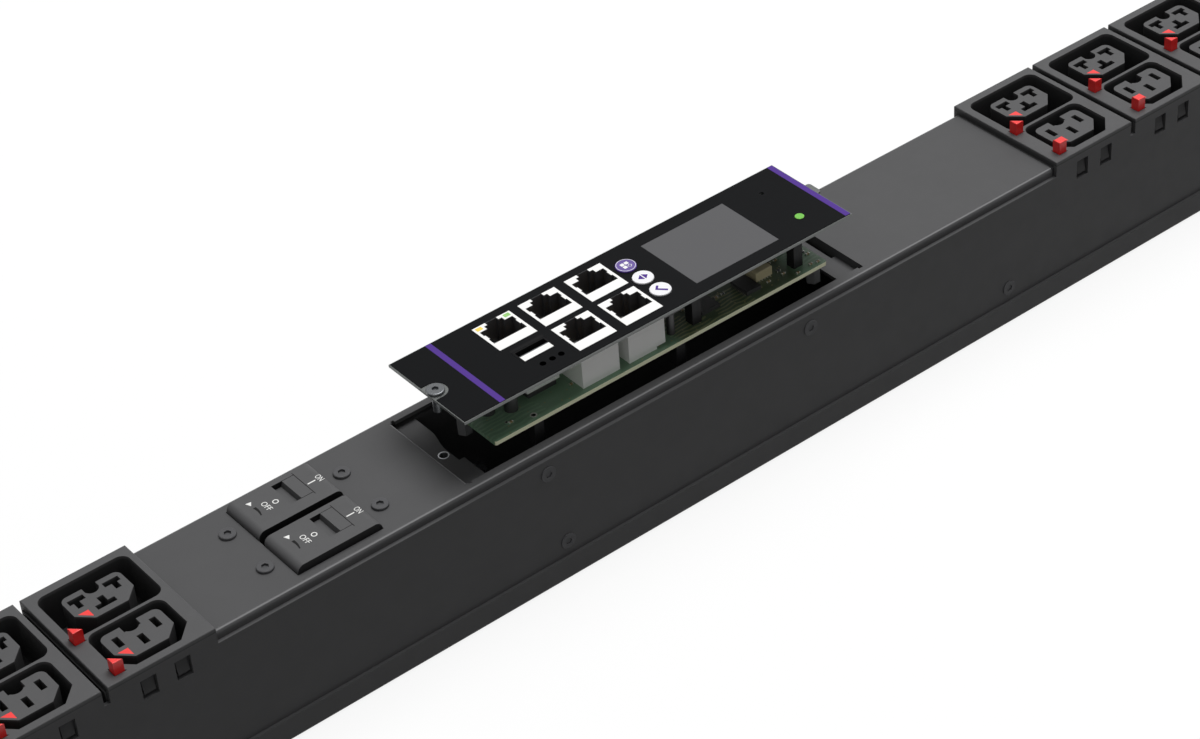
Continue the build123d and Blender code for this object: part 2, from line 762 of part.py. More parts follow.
def face_cutouts(z0, z1):
    """Every opening that passes through both the plate and its overlay."""
    holes = []
    for x, y in jack_places().values():
        holes.append(block(x - jack_size[0] / 2 - jack_gap, x + jack_size[0] / 2 + jack_gap,
                           y - jack_size[1] / 2 - jack_gap, y + jack_size[1] / 2 + jack_gap, z0, z1))
    ux, uy = usb_centre
    holes.append(block(ux - usb_size[0] / 2 - jack_gap, ux + usb_size[0] / 2 + jack_gap,
                       uy - usb_size[1] / 2 - jack_gap, uy + usb_size[1] / 2 + jack_gap, z0, z1))
    for i in (-1, 0, 1):
        holes.append(rod(push_x, i * push_pitch, z0, z1, push_radius + push_gap))
    for x in light_spots:
        holes.append(rod(x, light_row, z0, z1, light_radius))
    holes.append(rod(*status_spot, z0, z1, status_radius))
    holes.append(rod(*reset_spot, z0, z1, reset_radius))
    width, height = display_size
    holes.append(block(display_x - width / 2, display_x + width / 2, -height / 2, height / 2, z0, z1))
    return holes


def make_overlay():
    """Printed plastic overlay bonded to the plate, notched round the captive screw."""
    right = plate_left + plate_length - overlay_border
    left = plate_left + overlay_border
    half = plate_width / 2 - overlay_border
    film = block(left, right, -half, half, plate_top, face_z)
    notch = rod(*anchor, plate_top - 1, face_z + 1, captive_notch)
    notch += block(left - 1, anchor[0], anchor[1] - captive_notch, anchor[1] + captive_notch,
                   plate_top - 1, face_z + 1)
    return film - face_cutouts(plate_top - 1, face_z + 1) - notch


def jack_places():
    """Centres of the five modular sockets."""
    left, middle, right = jack_columns
    return {"ethernet_jack": (left, jack_row), "link_in_jack": (middle, jack_row),
            "sensor_jack_1": (right, jack_row), "link_out_jack": (middle, -jack_row),
            "sensor_jack_2": (right, -jack_row)}


def make_jack(x, y, cut_foot):
    """Modular socket: a stepped port with ribbed side walls, whose latch groove opens towards +Y."""
    length, width = jack_size
    body = block(x - length / 2, x + length / 2, y - width / 2, y + width / 2, board_top, face_z)
    low, top = face_z - port_depth, face_z + 1
    port = block(x - port_half, x + port_half, y + port_near, y + port_far, low, top)
    port += block(x - latch_half, x + latch_half, y + port_near, y + latch_end, low, top)
    port += block(x - groove_half, x + groove_half, y, y + width / 2 + 1, face_z - groove_depth, top)
    reach, near, far = side_rib
    for side in (-1, 1):
        x0, x1 = sorted((x + side * port_half, x + side * (port_half - reach)))
        port -= block(x0, x1, y + near, y + far, low, top)
    near_wall = y + port_near
    ledge = block(x - port_half + reach, x + port_half - reach, near_wall, near_wall + ledge_width,
                  low, face_z - ledge_drop)
    body = body - port + ledge
    if cut_foot:
        corner = x + length / 2
        body -= block(corner - foot_cut[0], corner, y - width / 2, y, board_top, board_top + foot_cut[1])
    return body


def make_usb_socket():
    """Metal-shelled socket with a tongue along its near side, raised above the board."""
    x, y = usb_centre
    length, width = usb_size
    shell = block(x - length / 2, x + length / 2, y - width / 2, y + width / 2, board_top + usb_low, face_z)
    inner_half = width / 2 - usb_wall
    shell -= block(x - length / 2 + usb_wall, x + length / 2 - usb_wall, y - inner_half + usb_tongue,
                   y + inner_half, face_z - usb_depth, face_z + 1)
    return shell


def make_display():
    """Flat display module behind the overlay's window, on a longer frame."""
    width, height = display_size
    glass = block(display_x - width / 2, display_x + width / 2, -height / 2, height / 2,
                  plate_low, face_z - display_sink)
    left, right, half = display_frame
    return glass + block(left, right, -half, half, plate_low - display_depth, plate_low)


def make_push_button(row):
    """Round key with a collar that holds it behind the plate."""
    y = row * push_pitch
    collar_top = plate_low - collar_gap
    collar_low = collar_top - collar_height
    key = rod(push_x, y, collar_top - push_travel, face_z + push_rise, push_radius)
    key = fillet(key.edges().group_by(Axis.Z)[-1], push_round)
    key += rod(push_x, y, collar_low, collar_top, push_radius + push_collar)
    return key + rod(push_x, y, switch_top(), collar_top, key_stem)


def switch_top():
    """Top of the tact switches, which the keys reach at the end of their travel."""
    return plate_low - switch_drop


def make_key_switches():
    """Tact switches on a carrier that stands on the board behind the keys."""
    high = switch_top() - push_travel - switch_gap
    low = high - switch_height
    reach = carrier_reach * push_pitch
    side = carrier_width / 2
    carrier = block(push_x - side, push_x + side, -reach, reach, low - carrier_sheet, low)
    for end in (-1, 1):
        carrier += rod(push_x, end * carrier_leg * push_pitch, board_top, low - carrier_sheet, key_stem)
    half = switch_side / 2
    for row in (-1, 0, 1):
        y = row * push_pitch
        carrier += block(push_x - half, push_x + half, y - half, y + half, low, high)
    return carrier


def make_circuit_board():
    """Controller's printed circuit board."""
    board = block(board_left, board_right, -board_half, board_half, board_low, board_top)
    return fillet(board.edges().filter_by(Axis.Z), 1.0)


def make_supports():
    """Posts between the board and the plate or display, and the feet and standoffs under the board."""
    side = support_side / 2
    posts = [block(x - side, x + side, y - side, y + side, board_top, plate_low - display_depth)
             for x, y in support_spots]
    for x in (board_left + post_inset, board_right - post_inset):
        posts.append(rod(x, post_row, board_top, plate_low, post_radius))
    foot = spacer_side / 2
    for x, y in spacer_spots:
        posts.append(block(x - foot, x + foot, y - foot, y + foot, spacer_low, board_low))
    hexagon = RegularPolygon(standoff_radius, 6)
    for x, y in standoff_spots:
        posts.append(prism(Pos(x, y) * hexagon, standoff_low, board_low))
    return Compound(children=posts)


def make_board_parts():
    """Larger parts on the board: the serial socket's base, chips, a connector and capacitors."""
    x, y = usb_centre
    length, width = usb_base
    parts = [block(x - length / 2, x + length / 2, y - width / 2, y + width / 2, board_top, board_top + usb_low)]
    for x0, x1, y0, y1, height in board_blocks:
        parts.append(block(x0, x1, y0, y1, board_top, board_top + height))
    for x, y in board_cans:
        parts.append(rod(x, y, board_top, board_top + can_height, can_radius))
    return Compound(children=parts)


def make_status_light():
    """Light pipes of the status lamp and of the three link lamps."""
    pipes = [rod(*status_spot, plate_low - pipe_stem, face_z + pipe_rise, status_radius)]
    pipes += [rod(x, light_row, plate_low - pipe_stem, face_z - pipe_rise, light_radius) for x in light_spots]
    return Compound(children=pipes)


def make_captive_screw():
    """Screw that stays in the plate and holds the controller in its bay."""
    screw = rod(*anchor, plate_top, plate_top + captive_rise, captive_head)
    screw = fillet(screw.edges().group_by(Axis.Z)[-1], captive_rise * 0.4)
    socket = Pos(*anchor, 0) * RegularPolygon(captive_hex, 6)
    screw -= prism(socket, plate_top + captive_rise * 0.3, plate_top + 3)
    screw += rod(*anchor, plate_top - captive_length, plate_top, captive_shank)
    return screw


def build():
    """Writes every piece."""
    save(make_base_channel(), "base_channel")
    save(make_back_cover(), "back_cover")
    save(make_front_cover(), "front_cover")
    save(make_anchor_nut(), "anchor_nut")
    pattern = outlet_block_local()
    small, large = make_button(small_button), make_button(large_button)
    for number, x in enumerate(block_centres, 1):
        place = Pos(x, 0, 0)
        save(place * pattern, f"outlet_block_{number}")
        save(place * small, f"narrow_release_{number}")
        save(place * large, f"wide_release_{number}")
    save(make_lock_pins(), "lock_pins")
    save(make_contacts(), "contact_clips")
    for y, name in zip(bar_rows, ("live_bus_bar", "earth_bus_bar", "neutral_bus_bar")):
        save(make_bus_bars(y), name)
    for side, name in ((1, "a"), (-1, "b")):
        save(make_breaker(side), f"circuit_breaker_{name}")
        save(make_rocker(side), f"breaker_rocker_{name}")
    save(make_breaker_screws(), "breaker_screws")
    save(make_side_screws(), "side_screws")
    save(make_side_nuts(), "side_nuts")
    save(make_mounting_nuts(), "mounting_nuts")
    for side, name in ((-1, "left"), (1, "right")):
        save(make_end_cap(side), f"end_cap_{name}")
        save(make_end_lid(side), f"end_lid_{name}")
    save(make_gland(), "cable_gland")
    save(make_gland_nut(), "gland_lock_nut")
    save(make_terminal_block(), "terminal_block")
    save(make_faceplate(), "controller_faceplate")
    save(make_overlay(), "controller_overlay")
    save(make_display(), "display_module")
    for row, name in ((1, "menu_key"), (0, "scroll_key"), (-1, "select_key")):
        save(make_push_button(row), name)
    save(make_key_switches(), "key_switches")
    save(make_circuit_board(), "circuit_board")
    save(make_supports(), "board_supports")
    save(make_board_parts(), "board_parts")
    for name, (x, y) in jack_places().items():
        save(make_jack(x, y, name.startswith("sensor")), name)
    save(make_usb_socket(), "usb_socket")
    save(make_status_light(), "light_pipes")
    save(make_captive_screw(), "captive_screw")


build()
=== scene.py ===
"""Rack power distribution unit: finishes for every solid, and the printed, moulded and soldered small pieces.

Lengths are millimetres in the code and metres in the meshes. The frame is the solids' own: X runs along the
unit, +Z is the outlet side, and the origin is the middle of the flat back.
"""
import math

import bpy
import numpy as np
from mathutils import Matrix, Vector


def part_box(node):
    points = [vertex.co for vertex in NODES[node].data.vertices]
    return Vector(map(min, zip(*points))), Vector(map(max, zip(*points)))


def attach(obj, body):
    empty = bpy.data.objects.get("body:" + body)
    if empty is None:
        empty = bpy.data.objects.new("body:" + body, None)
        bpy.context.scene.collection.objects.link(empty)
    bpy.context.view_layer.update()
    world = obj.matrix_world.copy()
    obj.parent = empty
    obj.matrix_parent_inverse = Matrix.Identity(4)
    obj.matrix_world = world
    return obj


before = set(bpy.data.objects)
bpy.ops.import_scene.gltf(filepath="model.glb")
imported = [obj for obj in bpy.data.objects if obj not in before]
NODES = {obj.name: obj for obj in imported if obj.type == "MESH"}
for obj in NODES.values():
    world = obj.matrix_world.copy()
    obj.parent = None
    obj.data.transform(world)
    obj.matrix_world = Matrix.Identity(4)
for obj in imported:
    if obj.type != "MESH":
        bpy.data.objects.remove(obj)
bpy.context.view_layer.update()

bl_info = {
    "name": "Rack Power Distribution Unit",
    "version": (1, 0, 0),
    "blender": (4, 5, 0),
    "location": "3D View > Sidebar > Rack Unit",
    "description": "Finishes and small pieces of a rack power distribution unit",
    "category": "Object",
}

MM = 0.001


def top_of(name):
    """Highest Z of a solid, in millimetres."""
    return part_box(name)[1].z / MM


def middle_of(name):
    """Centre of a solid in X and Y, in millimetres."""
    low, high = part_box(name)
    return (low.x + high.x) / 2 / MM, (low.y + high.y) / 2 / MM


# Colour and material nodes


def linear(value):
    """Hex sRGB to linear RGBA: below 0.04045 a straight line, above it a power of 2.4."""
    srgb = np.array([int(value[i:i + 2], 16) for i in (1, 3, 5)]) / 255
    rgb = np.where(srgb <= 0.04045, srgb / 12.92, ((srgb + 0.055) / 1.055) ** 2.4)
    return (float(rgb[0]), float(rgb[1]), float(rgb[2]), 1.0)


def scaled(colour, factor):
    """A colour made lighter or darker."""
    return tuple(min(1.0, c * factor) for c in colour[:3]) + (1.0,)


def add(tree, kind, inputs=None, **settings):
    """Adds a node with its own settings; an input takes a value or another node's socket."""
    made = tree.nodes.new(kind)
    for name, value in settings.items():
        setattr(made, name, value)
    for key, value in (inputs or {}).items():
        if isinstance(value, bpy.types.NodeSocket):
            tree.links.new(value, made.inputs[key])
        else:
            made.inputs[key].default_value = value
    return made


def maths(tree, operation, a, b=0.0):
    """One sum on a value, or on two."""
    return add(tree, "ShaderNodeMath", {0: a, 1: b}, operation=operation).outputs["Value"]


def ramp(tree, value, low, high, first=0.0, last=1.0):
    """Maps low..high to first..last, and holds these beyond them."""
    inputs = {"Value": value, "From Min": low, "From Max": high, "To Min": first, "To Max": last}
    return add(tree, "ShaderNodeMapRange", inputs).outputs["Result"]


def own_place(tree):
    """The piece's own coordinates, in metres."""
    return add(tree, "ShaderNodeTexCoord").outputs["Object"]


def share_along(tree, vector, axis):
    """A vector's share along one axis."""
    return add(tree, "ShaderNodeSeparateXYZ", {"Vector": vector}).outputs[axis]


def facing(tree, axis):
    """How far the surface looks along an axis, from -1 to 1."""
    return share_along(tree, add(tree, "ShaderNodeNewGeometry").outputs["Normal"], axis)


def away(tree, value, centre=0.0):
    """How far a value lies from a centre."""
    return maths(tree, "ABSOLUTE", maths(tree, "SUBTRACT", value, centre))


def seen(tree, *rays):
    """1 for these kinds of ray, 0 for all others."""
    path = add(tree, "ShaderNodeLightPath")
    found = path.outputs[rays[0]]
    for ray in rays[1:]:
        found = maths(tree, "MAXIMUM", found, path.outputs[ray])
    return found


def start(name, colour, roughness, ior=1.5, metallic=0.0, level=0.5):
    """A principled material with its typical values, its tree, its shader and the piece's own coordinates. A
    level under 0.5 holds back the reflection, as the pores of a matt surface do."""
    made = bpy.data.materials.new(name)
    made.use_nodes = True
    tree = made.node_tree
    shader = tree.nodes["Principled BSDF"]
    shader.inputs["Base Color"].default_value = colour
    shader.inputs["Roughness"].default_value = roughness
    shader.inputs["Metallic"].default_value = metallic
    shader.inputs["Specular IOR Level"].default_value = level
    if not metallic:
        shader.inputs["IOR"].default_value = ior
    return made, tree, shader, own_place(tree)


def noise(tree, place, size, detail=2.0):
    """Noise whose blotches are about size millimetres across."""
    inputs = {"Vector": place, "Scale": 1 / (size * MM), "Detail": detail}
    return add(tree, "ShaderNodeTexNoise", inputs).outputs["Fac"]


def shade(tree, factor, colour, other):
    """Mixes two colours by a pattern."""
    mix = add(tree, "ShaderNodeMix", data_type="RGBA")
    tree.links.new(factor, mix.inputs[0])
    for socket, value in ((mix.inputs[6], colour), (mix.inputs[7], other)):
        if isinstance(value, bpy.types.NodeSocket):
            tree.links.new(value, socket)
        else:
            socket.default_value = value
    return mix.outputs[2]


def repaint(made, mask, colour):
    """Lays another colour over a material's own where a mask is 1."""
    tree = made.node_tree
    base = tree.nodes["Principled BSDF"].inputs["Base Color"]
    tree.links.new(shade(tree, mask, base.links[0].from_socket, colour), base)


def relief(tree, shader, height, depth, strength):
    """Raises the surface by a pattern, depth in millimetres."""
    bump = add(tree, "ShaderNodeBump", {"Height": height, "Distance": depth * MM, "Strength": strength})
    tree.links.new(bump.outputs["Normal"], shader.inputs["Normal"])


def tinted(tree, shader, pattern, colour, darkest, lightest):
    """Lets a colour's lightness follow a pattern, between two shares of it."""
    tree.links.new(shade(tree, pattern, scaled(colour, darkest), scaled(colour, lightest)),
                   shader.inputs["Base Color"])


def roughened(tree, shader, pattern, low, high):
    """Lets the roughness follow the middle range of a pattern."""
    tree.links.new(ramp(tree, pattern, 0.3, 0.7, low, high), shader.inputs["Roughness"])


def powder_coat(name, colour, roughness, peel):
    """Polyester powder, sprayed and baked on steel: satin, with a fine orange peel that breaks up highlights,
    and a painted highlight along a fold's upper bend."""
    made, tree, shader, place = start(name, colour, roughness, level=0.1)
    tinted(tree, shader, noise(tree, place, 14, 3.0), colour, 0.95, 1.05)
    # Painted highlight: faces whose normal has a Z share near bend_slope are mixed towards three times the
    # coat's colour.
    bend_slope, core, fade, highlight_strength = 0.86, 0.04, 0.12, 0.8
    bend = ramp(tree, away(tree, facing(tree, "Z"), bend_slope), core, fade, highlight_strength, 0.0)
    repaint(made, bend, scaled(colour, 3.0))
    roughened(tree, shader, noise(tree, place, 5), roughness - 0.05, roughness + 0.05)
    relief(tree, shader, noise(tree, place, peel, 3.0), 0.02, 0.5)
    return made


def moulded(name, colour, roughness, grain, depth=0.015, amount=0.06, ior=1.55, level=0.5):
    """Plastic from a spark-eroded mould: a matt grain and a slow drift of tone along the flow."""
    made, tree, shader, place = start(name, colour, roughness, ior, level=level)
    tinted(tree, shader, noise(tree, place, 7, 3.0), colour, 1 - amount, 1 + amount)
    roughened(tree, shader, noise(tree, place, grain * 6), roughness - 0.04, roughness + 0.06)
    relief(tree, shader, noise(tree, place, grain), depth, 0.6)
    return made


def well_block(name, colour, grain, face):
    """Moulded outlet block: a plain face, and painted shade in the wells below it, darker with depth."""
    made = moulded(name, colour, 0.52, grain, level=0.12)
    tree = made.node_tree
    deep, shallow = (face - 1.6) * MM, (face - 0.6) * MM
    # Painted shade: from 0.6 to 1.6 mm below the face the colour falls to 0.42 of itself.
    repaint(made, ramp(tree, share_along(tree, own_place(tree), "Z"), deep, shallow, 1.0, 0.0),
            scaled(colour, 0.42))
    return made


def painted_side_shade(made, colour):
    """Paints shade on the faces that look along Y: they get a darker colour of their own."""
    tree = made.node_tree
    repaint(made, ramp(tree, away(tree, facing(tree, "Y")), 0.6, 0.9), colour)


def plated(name, colour, roughness, brush=(0.1, 0.1, 2.0)):
    """Plated or drawn metal: faint lines along the way it was worked. brush is a line's size."""
    made, tree, shader, place = start(name, colour, roughness, metallic=1.0)
    stretched = add(tree, "ShaderNodeMapping", {"Vector": place, "Scale": tuple(1 / (b * MM) for b in brush)})
    lines = noise(tree, stretched.outputs["Vector"], 1 / MM, 3.0)  # the mapping has set the scale
    tinted(tree, shader, lines, colour, 0.86, 1.1)
    roughened(tree, shader, lines, roughness - 0.07, roughness + 0.09)
    relief(tree, shader, lines, 0.006, 0.5)
    return made


def screen_print(name, colour):
    """Two-part ink, screen printed: flat, opaque and slightly rough, with a mesh mark of 0.25 mm."""
    made, tree, shader, place = start(name, colour, 0.5, 1.48, level=0.1)
    mesh_mark = noise(tree, place, 0.25)
    tinted(tree, shader, mesh_mark, colour, 0.94, 1.03)
    relief(tree, shader, mesh_mark, 0.004, 0.4)
    return made


def velvet_film(name, colour):
    """Polyester film, printed behind and embossed with a velvet grain of 0.15 mm, drawn at 0.3 mm to show."""
    made, tree, shader, place = start(name, colour, 0.42, 1.57, level=0.03)
    tinted(tree, shader, noise(tree, place, 20, 3.0), colour, 0.95, 1.05)
    relief(tree, shader, noise(tree, place, 0.3, 1.0), 0.006, 0.5)
    roughened(tree, shader, noise(tree, place, 9), 0.38, 0.47)
    return made


def screen_glass(name, colour):
    """Hard-coated display window: smooth, with the cell's 0.2 mm rows just showing."""
    made, tree, shader, place = start(name, colour, 0.3, 1.49, level=0.2)
    rows = add(tree, "ShaderNodeTexWave", {"Vector": place, "Scale": 1 / (0.2 * MM) / 20, "Distortion": 0.0},
               wave_type="BANDS", bands_direction="X").outputs["Fac"]
    cells = shade(tree, rows, scaled(colour, 0.985), scaled(colour, 1.015))
    cloud = noise(tree, place, 25, 1.0)
    tree.links.new(shade(tree, cloud, scaled(colour, 0.96), cells), shader.inputs["Base Color"])
    return made


def lamp_window(name, colour, glow):
    """Tinted acrylic light pipe: clear and smooth, lit from behind."""
    made, tree, shader, place = start(name, colour, 0.18, 1.49)
    swirl = noise(tree, place, 0.8, 1.0)
    tint = shade(tree, swirl, scaled(colour, 0.85), scaled(colour, 1.1))
    tree.links.new(tint, shader.inputs["Base Color"])
    tree.links.new(tint, shader.inputs["Emission Color"])
    shader.inputs["Emission Strength"].default_value = glow
    shader.inputs["Subsurface Weight"].default_value = 0.2
    shader.inputs["Subsurface Scale"].default_value = 0.5 * MM
    return made


def mask_board(name, colour, edge, copper):
    """Glass-epoxy board: green solder mask over copper tracks, and long edges of pale sawn laminate. Under
    the display the mask is darker and browner: painted shade of the plate above it."""
    made, tree, shader, place = start(name, colour, 0.32)
    track_pitch, patch_size, via_pitch, via_radius = 0.9, 13, 2.4, 0.13
    shade_middle, shade_full, shade_end = 39, 26, 30
    warp = add(tree, "ShaderNodeTexNoise", {"Vector": place, "Scale": 1 / (9 * MM), "Detail": 1.0})
    bent = add(tree, "ShaderNodeMix", {0: 0.0035}, data_type="VECTOR")
    tree.links.new(place, bent.inputs[4])
    tree.links.new(warp.outputs["Color"], bent.inputs[5])
    tracks = add(tree, "ShaderNodeTexWave", {"Vector": bent.outputs[1], "Distortion": 0.0,
                                             "Scale": 1 / (track_pitch * MM) / 6.28},
                 wave_type="BANDS", bands_direction="Y").outputs["Fac"]
    patch = add(tree, "ShaderNodeTexVoronoi", {"Vector": place, "Scale": 1 / (patch_size * MM)},
                distance="CHEBYCHEV").outputs["Color"]
    zone = add(tree, "ShaderNodeSeparateColor", {"Color": patch}).outputs["Red"]
    shown = maths(tree, "MULTIPLY", ramp(tree, tracks, 0.62, 0.7), maths(tree, "GREATER_THAN", zone, 0.45))
    vias = add(tree, "ShaderNodeTexVoronoi", {"Vector": place, "Scale": 1 / (via_pitch * MM)})
    hole = maths(tree, "LESS_THAN", vias.outputs["Distance"], via_radius)
    # Painted shade: the middle of the board, under the plate, fades to darker and browner colours.
    along = away(tree, share_along(tree, place, "X"), shade_middle * MM)
    plate_shade = ramp(tree, along, shade_full * MM, shade_end * MM, 1.0, 0.0)
    red, green, blue = colour[:3]
    ground = shade(tree, plate_shade, colour, scaled((red * 1.15, green, blue * 0.85), 0.4))
    bright = shade(tree, plate_shade, scaled(colour, 1.25), scaled((red * 1.5, green, blue * 0.8), 0.8))
    mask = shade(tree, hole, shade(tree, shown, ground, bright), copper)
    sawn = maths(tree, "GREATER_THAN", away(tree, facing(tree, "Y")), 0.5)
    fibre = shade(tree, noise(tree, place, 0.4), scaled(edge, 0.85), scaled(edge, 1.1))
    tree.links.new(shade(tree, sawn, mask, fibre), shader.inputs["Base Color"])
    relief(tree, shader, shown, 0.03, 0.6)
    return made


# Meshes


def in_scene(name, data):
    """An object for some data, linked to the scene."""
    made = bpy.data.objects.new(name, data)
    bpy.context.scene.collection.objects.link(made)
    return made


def wrap(name, points, faces, material, body, slot_name):
    """Puts points (millimetres) and faces into a mesh at the origin, and makes it ride on a body."""
    mesh = bpy.data.meshes.new(name)
    mesh.from_pydata((np.asarray(points, float) * MM).tolist(), [], faces)
    mesh.validate()
    made = in_scene(name, mesh)
    mesh.materials.append(material)
    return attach(made, body)


def closed(rings, around):
    """Faces of a solid from rings of points that go anticlockwise and rise: quads between each ring and the
    next, facing outwards, and a flat face at each end."""
    r, k = np.meshgrid(np.arange(rings - 1), np.arange(around), indexing="ij")
    nxt = (k + 1) % around
    quads = np.stack([r * around + k, r * around + nxt, (r + 1) * around + nxt, (r + 1) * around + k], -1)
    bottom, top = list(range(around)), list(range(around * (rings - 1), around * rings))
    return quads.reshape(-1, 4).tolist() + [bottom[::-1], top]


def inset(outline, distance):
    """Moves an anticlockwise outline inwards: each corner goes along its two edges' mitre."""
    before, after = np.roll(outline, 1, 0), np.roll(outline, -1, 0)
    a = outline - before
    b = after - outline
    a /= np.linalg.norm(a, axis=1)[:, None]
    b /= np.linalg.norm(b, axis=1)[:, None]
    na, nb = np.stack([-a[:, 1], a[:, 0]], 1), np.stack([-b[:, 1], b[:, 0]], 1)
    mitre = na + nb
    shortest = 0.3
    mitre /= np.maximum((mitre * na).sum(1), shortest)[:, None]
    return outline + distance * mitre


def lofted(outline, levels):
    """A closed solid: the outline is drawn at each level (inset, z), and both ends are closed flat."""
    outline = np.asarray(outline, float)
    count = len(outline)
    rings = [np.column_stack([inset(outline, i) if i else outline, np.full(count, z)]) for i, z in levels]
    return np.concatenate(rings), closed(len(rings), count)


def repeated(shape, places):
    """Copies a shape (points, faces) to many places (x, y, z) in one mesh."""
    points, faces = shape
    places = np.asarray(places, float).reshape(-1, 3)
    moved = (points[None] + places[:, None]).reshape(-1, 3)
    every = [[i + n * len(points) for i in face] for n in range(len(places)) for face in faces]
    return moved, every


def joined(*shapes):
    """Several shapes as one."""
    points, faces, first = [], [], 0
    for shape_points, shape_faces in shapes:
        points.append(shape_points)
        faces += [[i + first for i in face] for face in shape_faces]
        first += len(shape_points)
    return np.concatenate(points), faces


def rectangle(x0, x1, y0, y1):
    """Corners of a rectangle, anticlockwise."""
    return np.array([(x0, y0), (x1, y0), (x1, y1), (x0, y1)], float)


def soft_rectangle(x0, x1, y0, y1, radius, steps=4):
    """Rectangle with round corners: each corner's centre plus the radius turned through a quarter."""
    angles = np.radians(np.linspace(0, 90, steps + 1))
    centres = np.array([(x1 - radius, y1 - radius), (x0 + radius, y1 - radius), (x0 + radius, y0 + radius),
                        (x1 - radius, y0 + radius)])
    turn = angles[None] + np.radians([0, 90, 180, 270])[:, None]
    arc = np.stack([np.cos(turn), np.sin(turn)], -1) * radius
    return (centres[:, None] + arc).reshape(-1, 2)


def circle(x, y, radius, steps=24):
    """Points round a circle: centre plus radius times cosine and sine."""
    angles = np.linspace(0, 2 * math.pi, steps, endpoint=False)
    return np.stack([x + radius * np.cos(angles), y + radius * np.sin(angles)], 1)


def slab(outline, low, high, edge=0.0):
    """An outline raised from low to high, with a chamfered upper edge."""
    levels = [(0, low), (0, high)] if not edge else [(0, low), (0, high - edge), (edge, high)]
    return lofted(outline, levels)


def hoop(x, y, z, outer, inner, height, steps=32):
    """A flat ring: a rectangle section carried round a circle."""
    section = [(inner, z), (outer, z), (outer, z + height), (inner, z + height)]
    angles = np.linspace(0, 2 * math.pi, steps, endpoint=False)
    radii, heights = np.array(section).T
    points = np.stack([x + np.outer(np.cos(angles), radii), y + np.outer(np.sin(angles), radii),
                       np.broadcast_to(heights, (steps, 4))], -1).reshape(-1, 3)
    a, s = np.meshgrid(np.arange(steps), np.arange(4), indexing="ij")
    nxt, up = (a + 1) % steps, (s + 1) % 4
    faces = np.stack([a * 4 + s, nxt * 4 + s, nxt * 4 + up, a * 4 + up], -1).reshape(-1, 4)
    return points, faces.tolist()


def wire(path, radius, steps=6):
    """A round wire: a circle carried along a path, square to it, and closed at both ends."""
    path = np.asarray(path, float)
    ahead = np.gradient(path, axis=0)
    ahead /= np.linalg.norm(ahead, axis=1)[:, None]
    off_every_path = [0.31, 0.95, 0.07]
    side = np.cross(ahead, off_every_path)
    side /= np.linalg.norm(side, axis=1)[:, None]
    other = np.cross(ahead, side)
    angles = np.linspace(0, 2 * math.pi, steps, endpoint=False)
    ring = np.cos(angles)[None, :, None] * side[:, None] + np.sin(angles)[None, :, None] * other[:, None]
    return (path[:, None] + radius * ring).reshape(-1, 3), closed(len(path), steps)


def liner(outline, top, depth, wall=0.12):
    """A thin cup: the outline's wall rises outside, turns over the rim and goes down inside to the floor."""
    return lofted(outline, [(0, top - depth), (0, top), (wall, top), (wall, top - depth + wall)])


def lettering(text, size, thickness, centre, z, name, material, body, slot_name):
    """Raised print of a size (length, height): the text is made a mesh first, stretched to that size, then
    turned to read along -Y with its tops towards +X."""
    curve = bpy.data.curves.new(name + "_outline", "FONT")
    curve.body = text
    curve.extrude = 0.5
    curve.resolution_u = 3
    carrier = in_scene(name + "_outline", curve)
    flat = bpy.data.meshes.new_from_object(carrier.evaluated_get(bpy.context.evaluated_depsgraph_get()))
    points = np.zeros(len(flat.vertices) * 3)
    flat.vertices.foreach_get("co", points)
    points = points.reshape(-1, 3)
    low, high = points.min(0), points.max(0)
    along, up, rise = ((points - (low + high) / 2) / (high - low) * (*size, thickness)).T
    placed = np.column_stack([centre[0] + up, centre[1] - along, z + thickness / 2 + rise])
    faces = [list(p.vertices) for p in flat.polygons]
    bpy.data.objects.remove(carrier)
    bpy.data.meshes.remove(flat)
    return wrap(name, placed, faces, material, body, slot_name)


def coat(material, *names):
    """Gives solids a finish in the slots that they already have."""
    for name in names:
        mesh = NODES[name].data
        if mesh.materials:
            for i in range(len(mesh.materials)):
                mesh.materials[i] = material
        else:
            mesh.materials.append(material)


# Sizes and colours that a user would change


def colour_property(name, what, value):
    """Colour of a thing, whose default is a hex value made linear."""
    return bpy.props.FloatVectorProperty(name=name, description=f"Colour of the {what}", subtype="COLOR",
                                         size=4, min=0, max=1, default=linear(value))


def length_property(name, description, value):
    """A length in millimetres on the page and metres inside."""
    return bpy.props.FloatProperty(name=name, description=description, default=value * MM, min=0,
                                   soft_max=0.1, subtype="DISTANCE", unit="LENGTH", precision=5)


def power_property(name, description, value):
    """A lamp's power in watts."""
    return bpy.props.FloatProperty(name=name, description=description, default=value, min=0, subtype="POWER",
                                   unit="POWER")


class RackUnitHousing(bpy.types.PropertyGroup):
    """Sheet metal, screws and ends."""
    coat: colour_property("Powder coat", "coated steel", "#505051")
    coat_roughness: bpy.props.FloatProperty(
        name="Coat roughness", description="Roughness of the satin powder coat", default=0.46, min=0, max=1,
        subtype="FACTOR")
    peel: length_property("Orange peel", "Width of one dimple of the baked powder", 0.9)
    zinc: colour_property("Zinc", "plated nuts and bushes", "#a8aaad")
    screw: colour_property("Screws", "blackened screws", "#4c4c4e")
    end_plastic: colour_property("End plastic", "end caps and the gland", "#2a2a2b")


class RackUnitOutlets(bpy.types.PropertyGroup):
    """Outlet blocks with their buttons and contacts."""
    block: colour_property("Block", "outlet blocks", "#535354")
    release: colour_property("Release", "release buttons and lock pins", "#f02321")
    grain: length_property("Grain", "Width of the mould's grain", 0.35)
    contact: colour_property("Contact", "brass clips", "#c8a055")


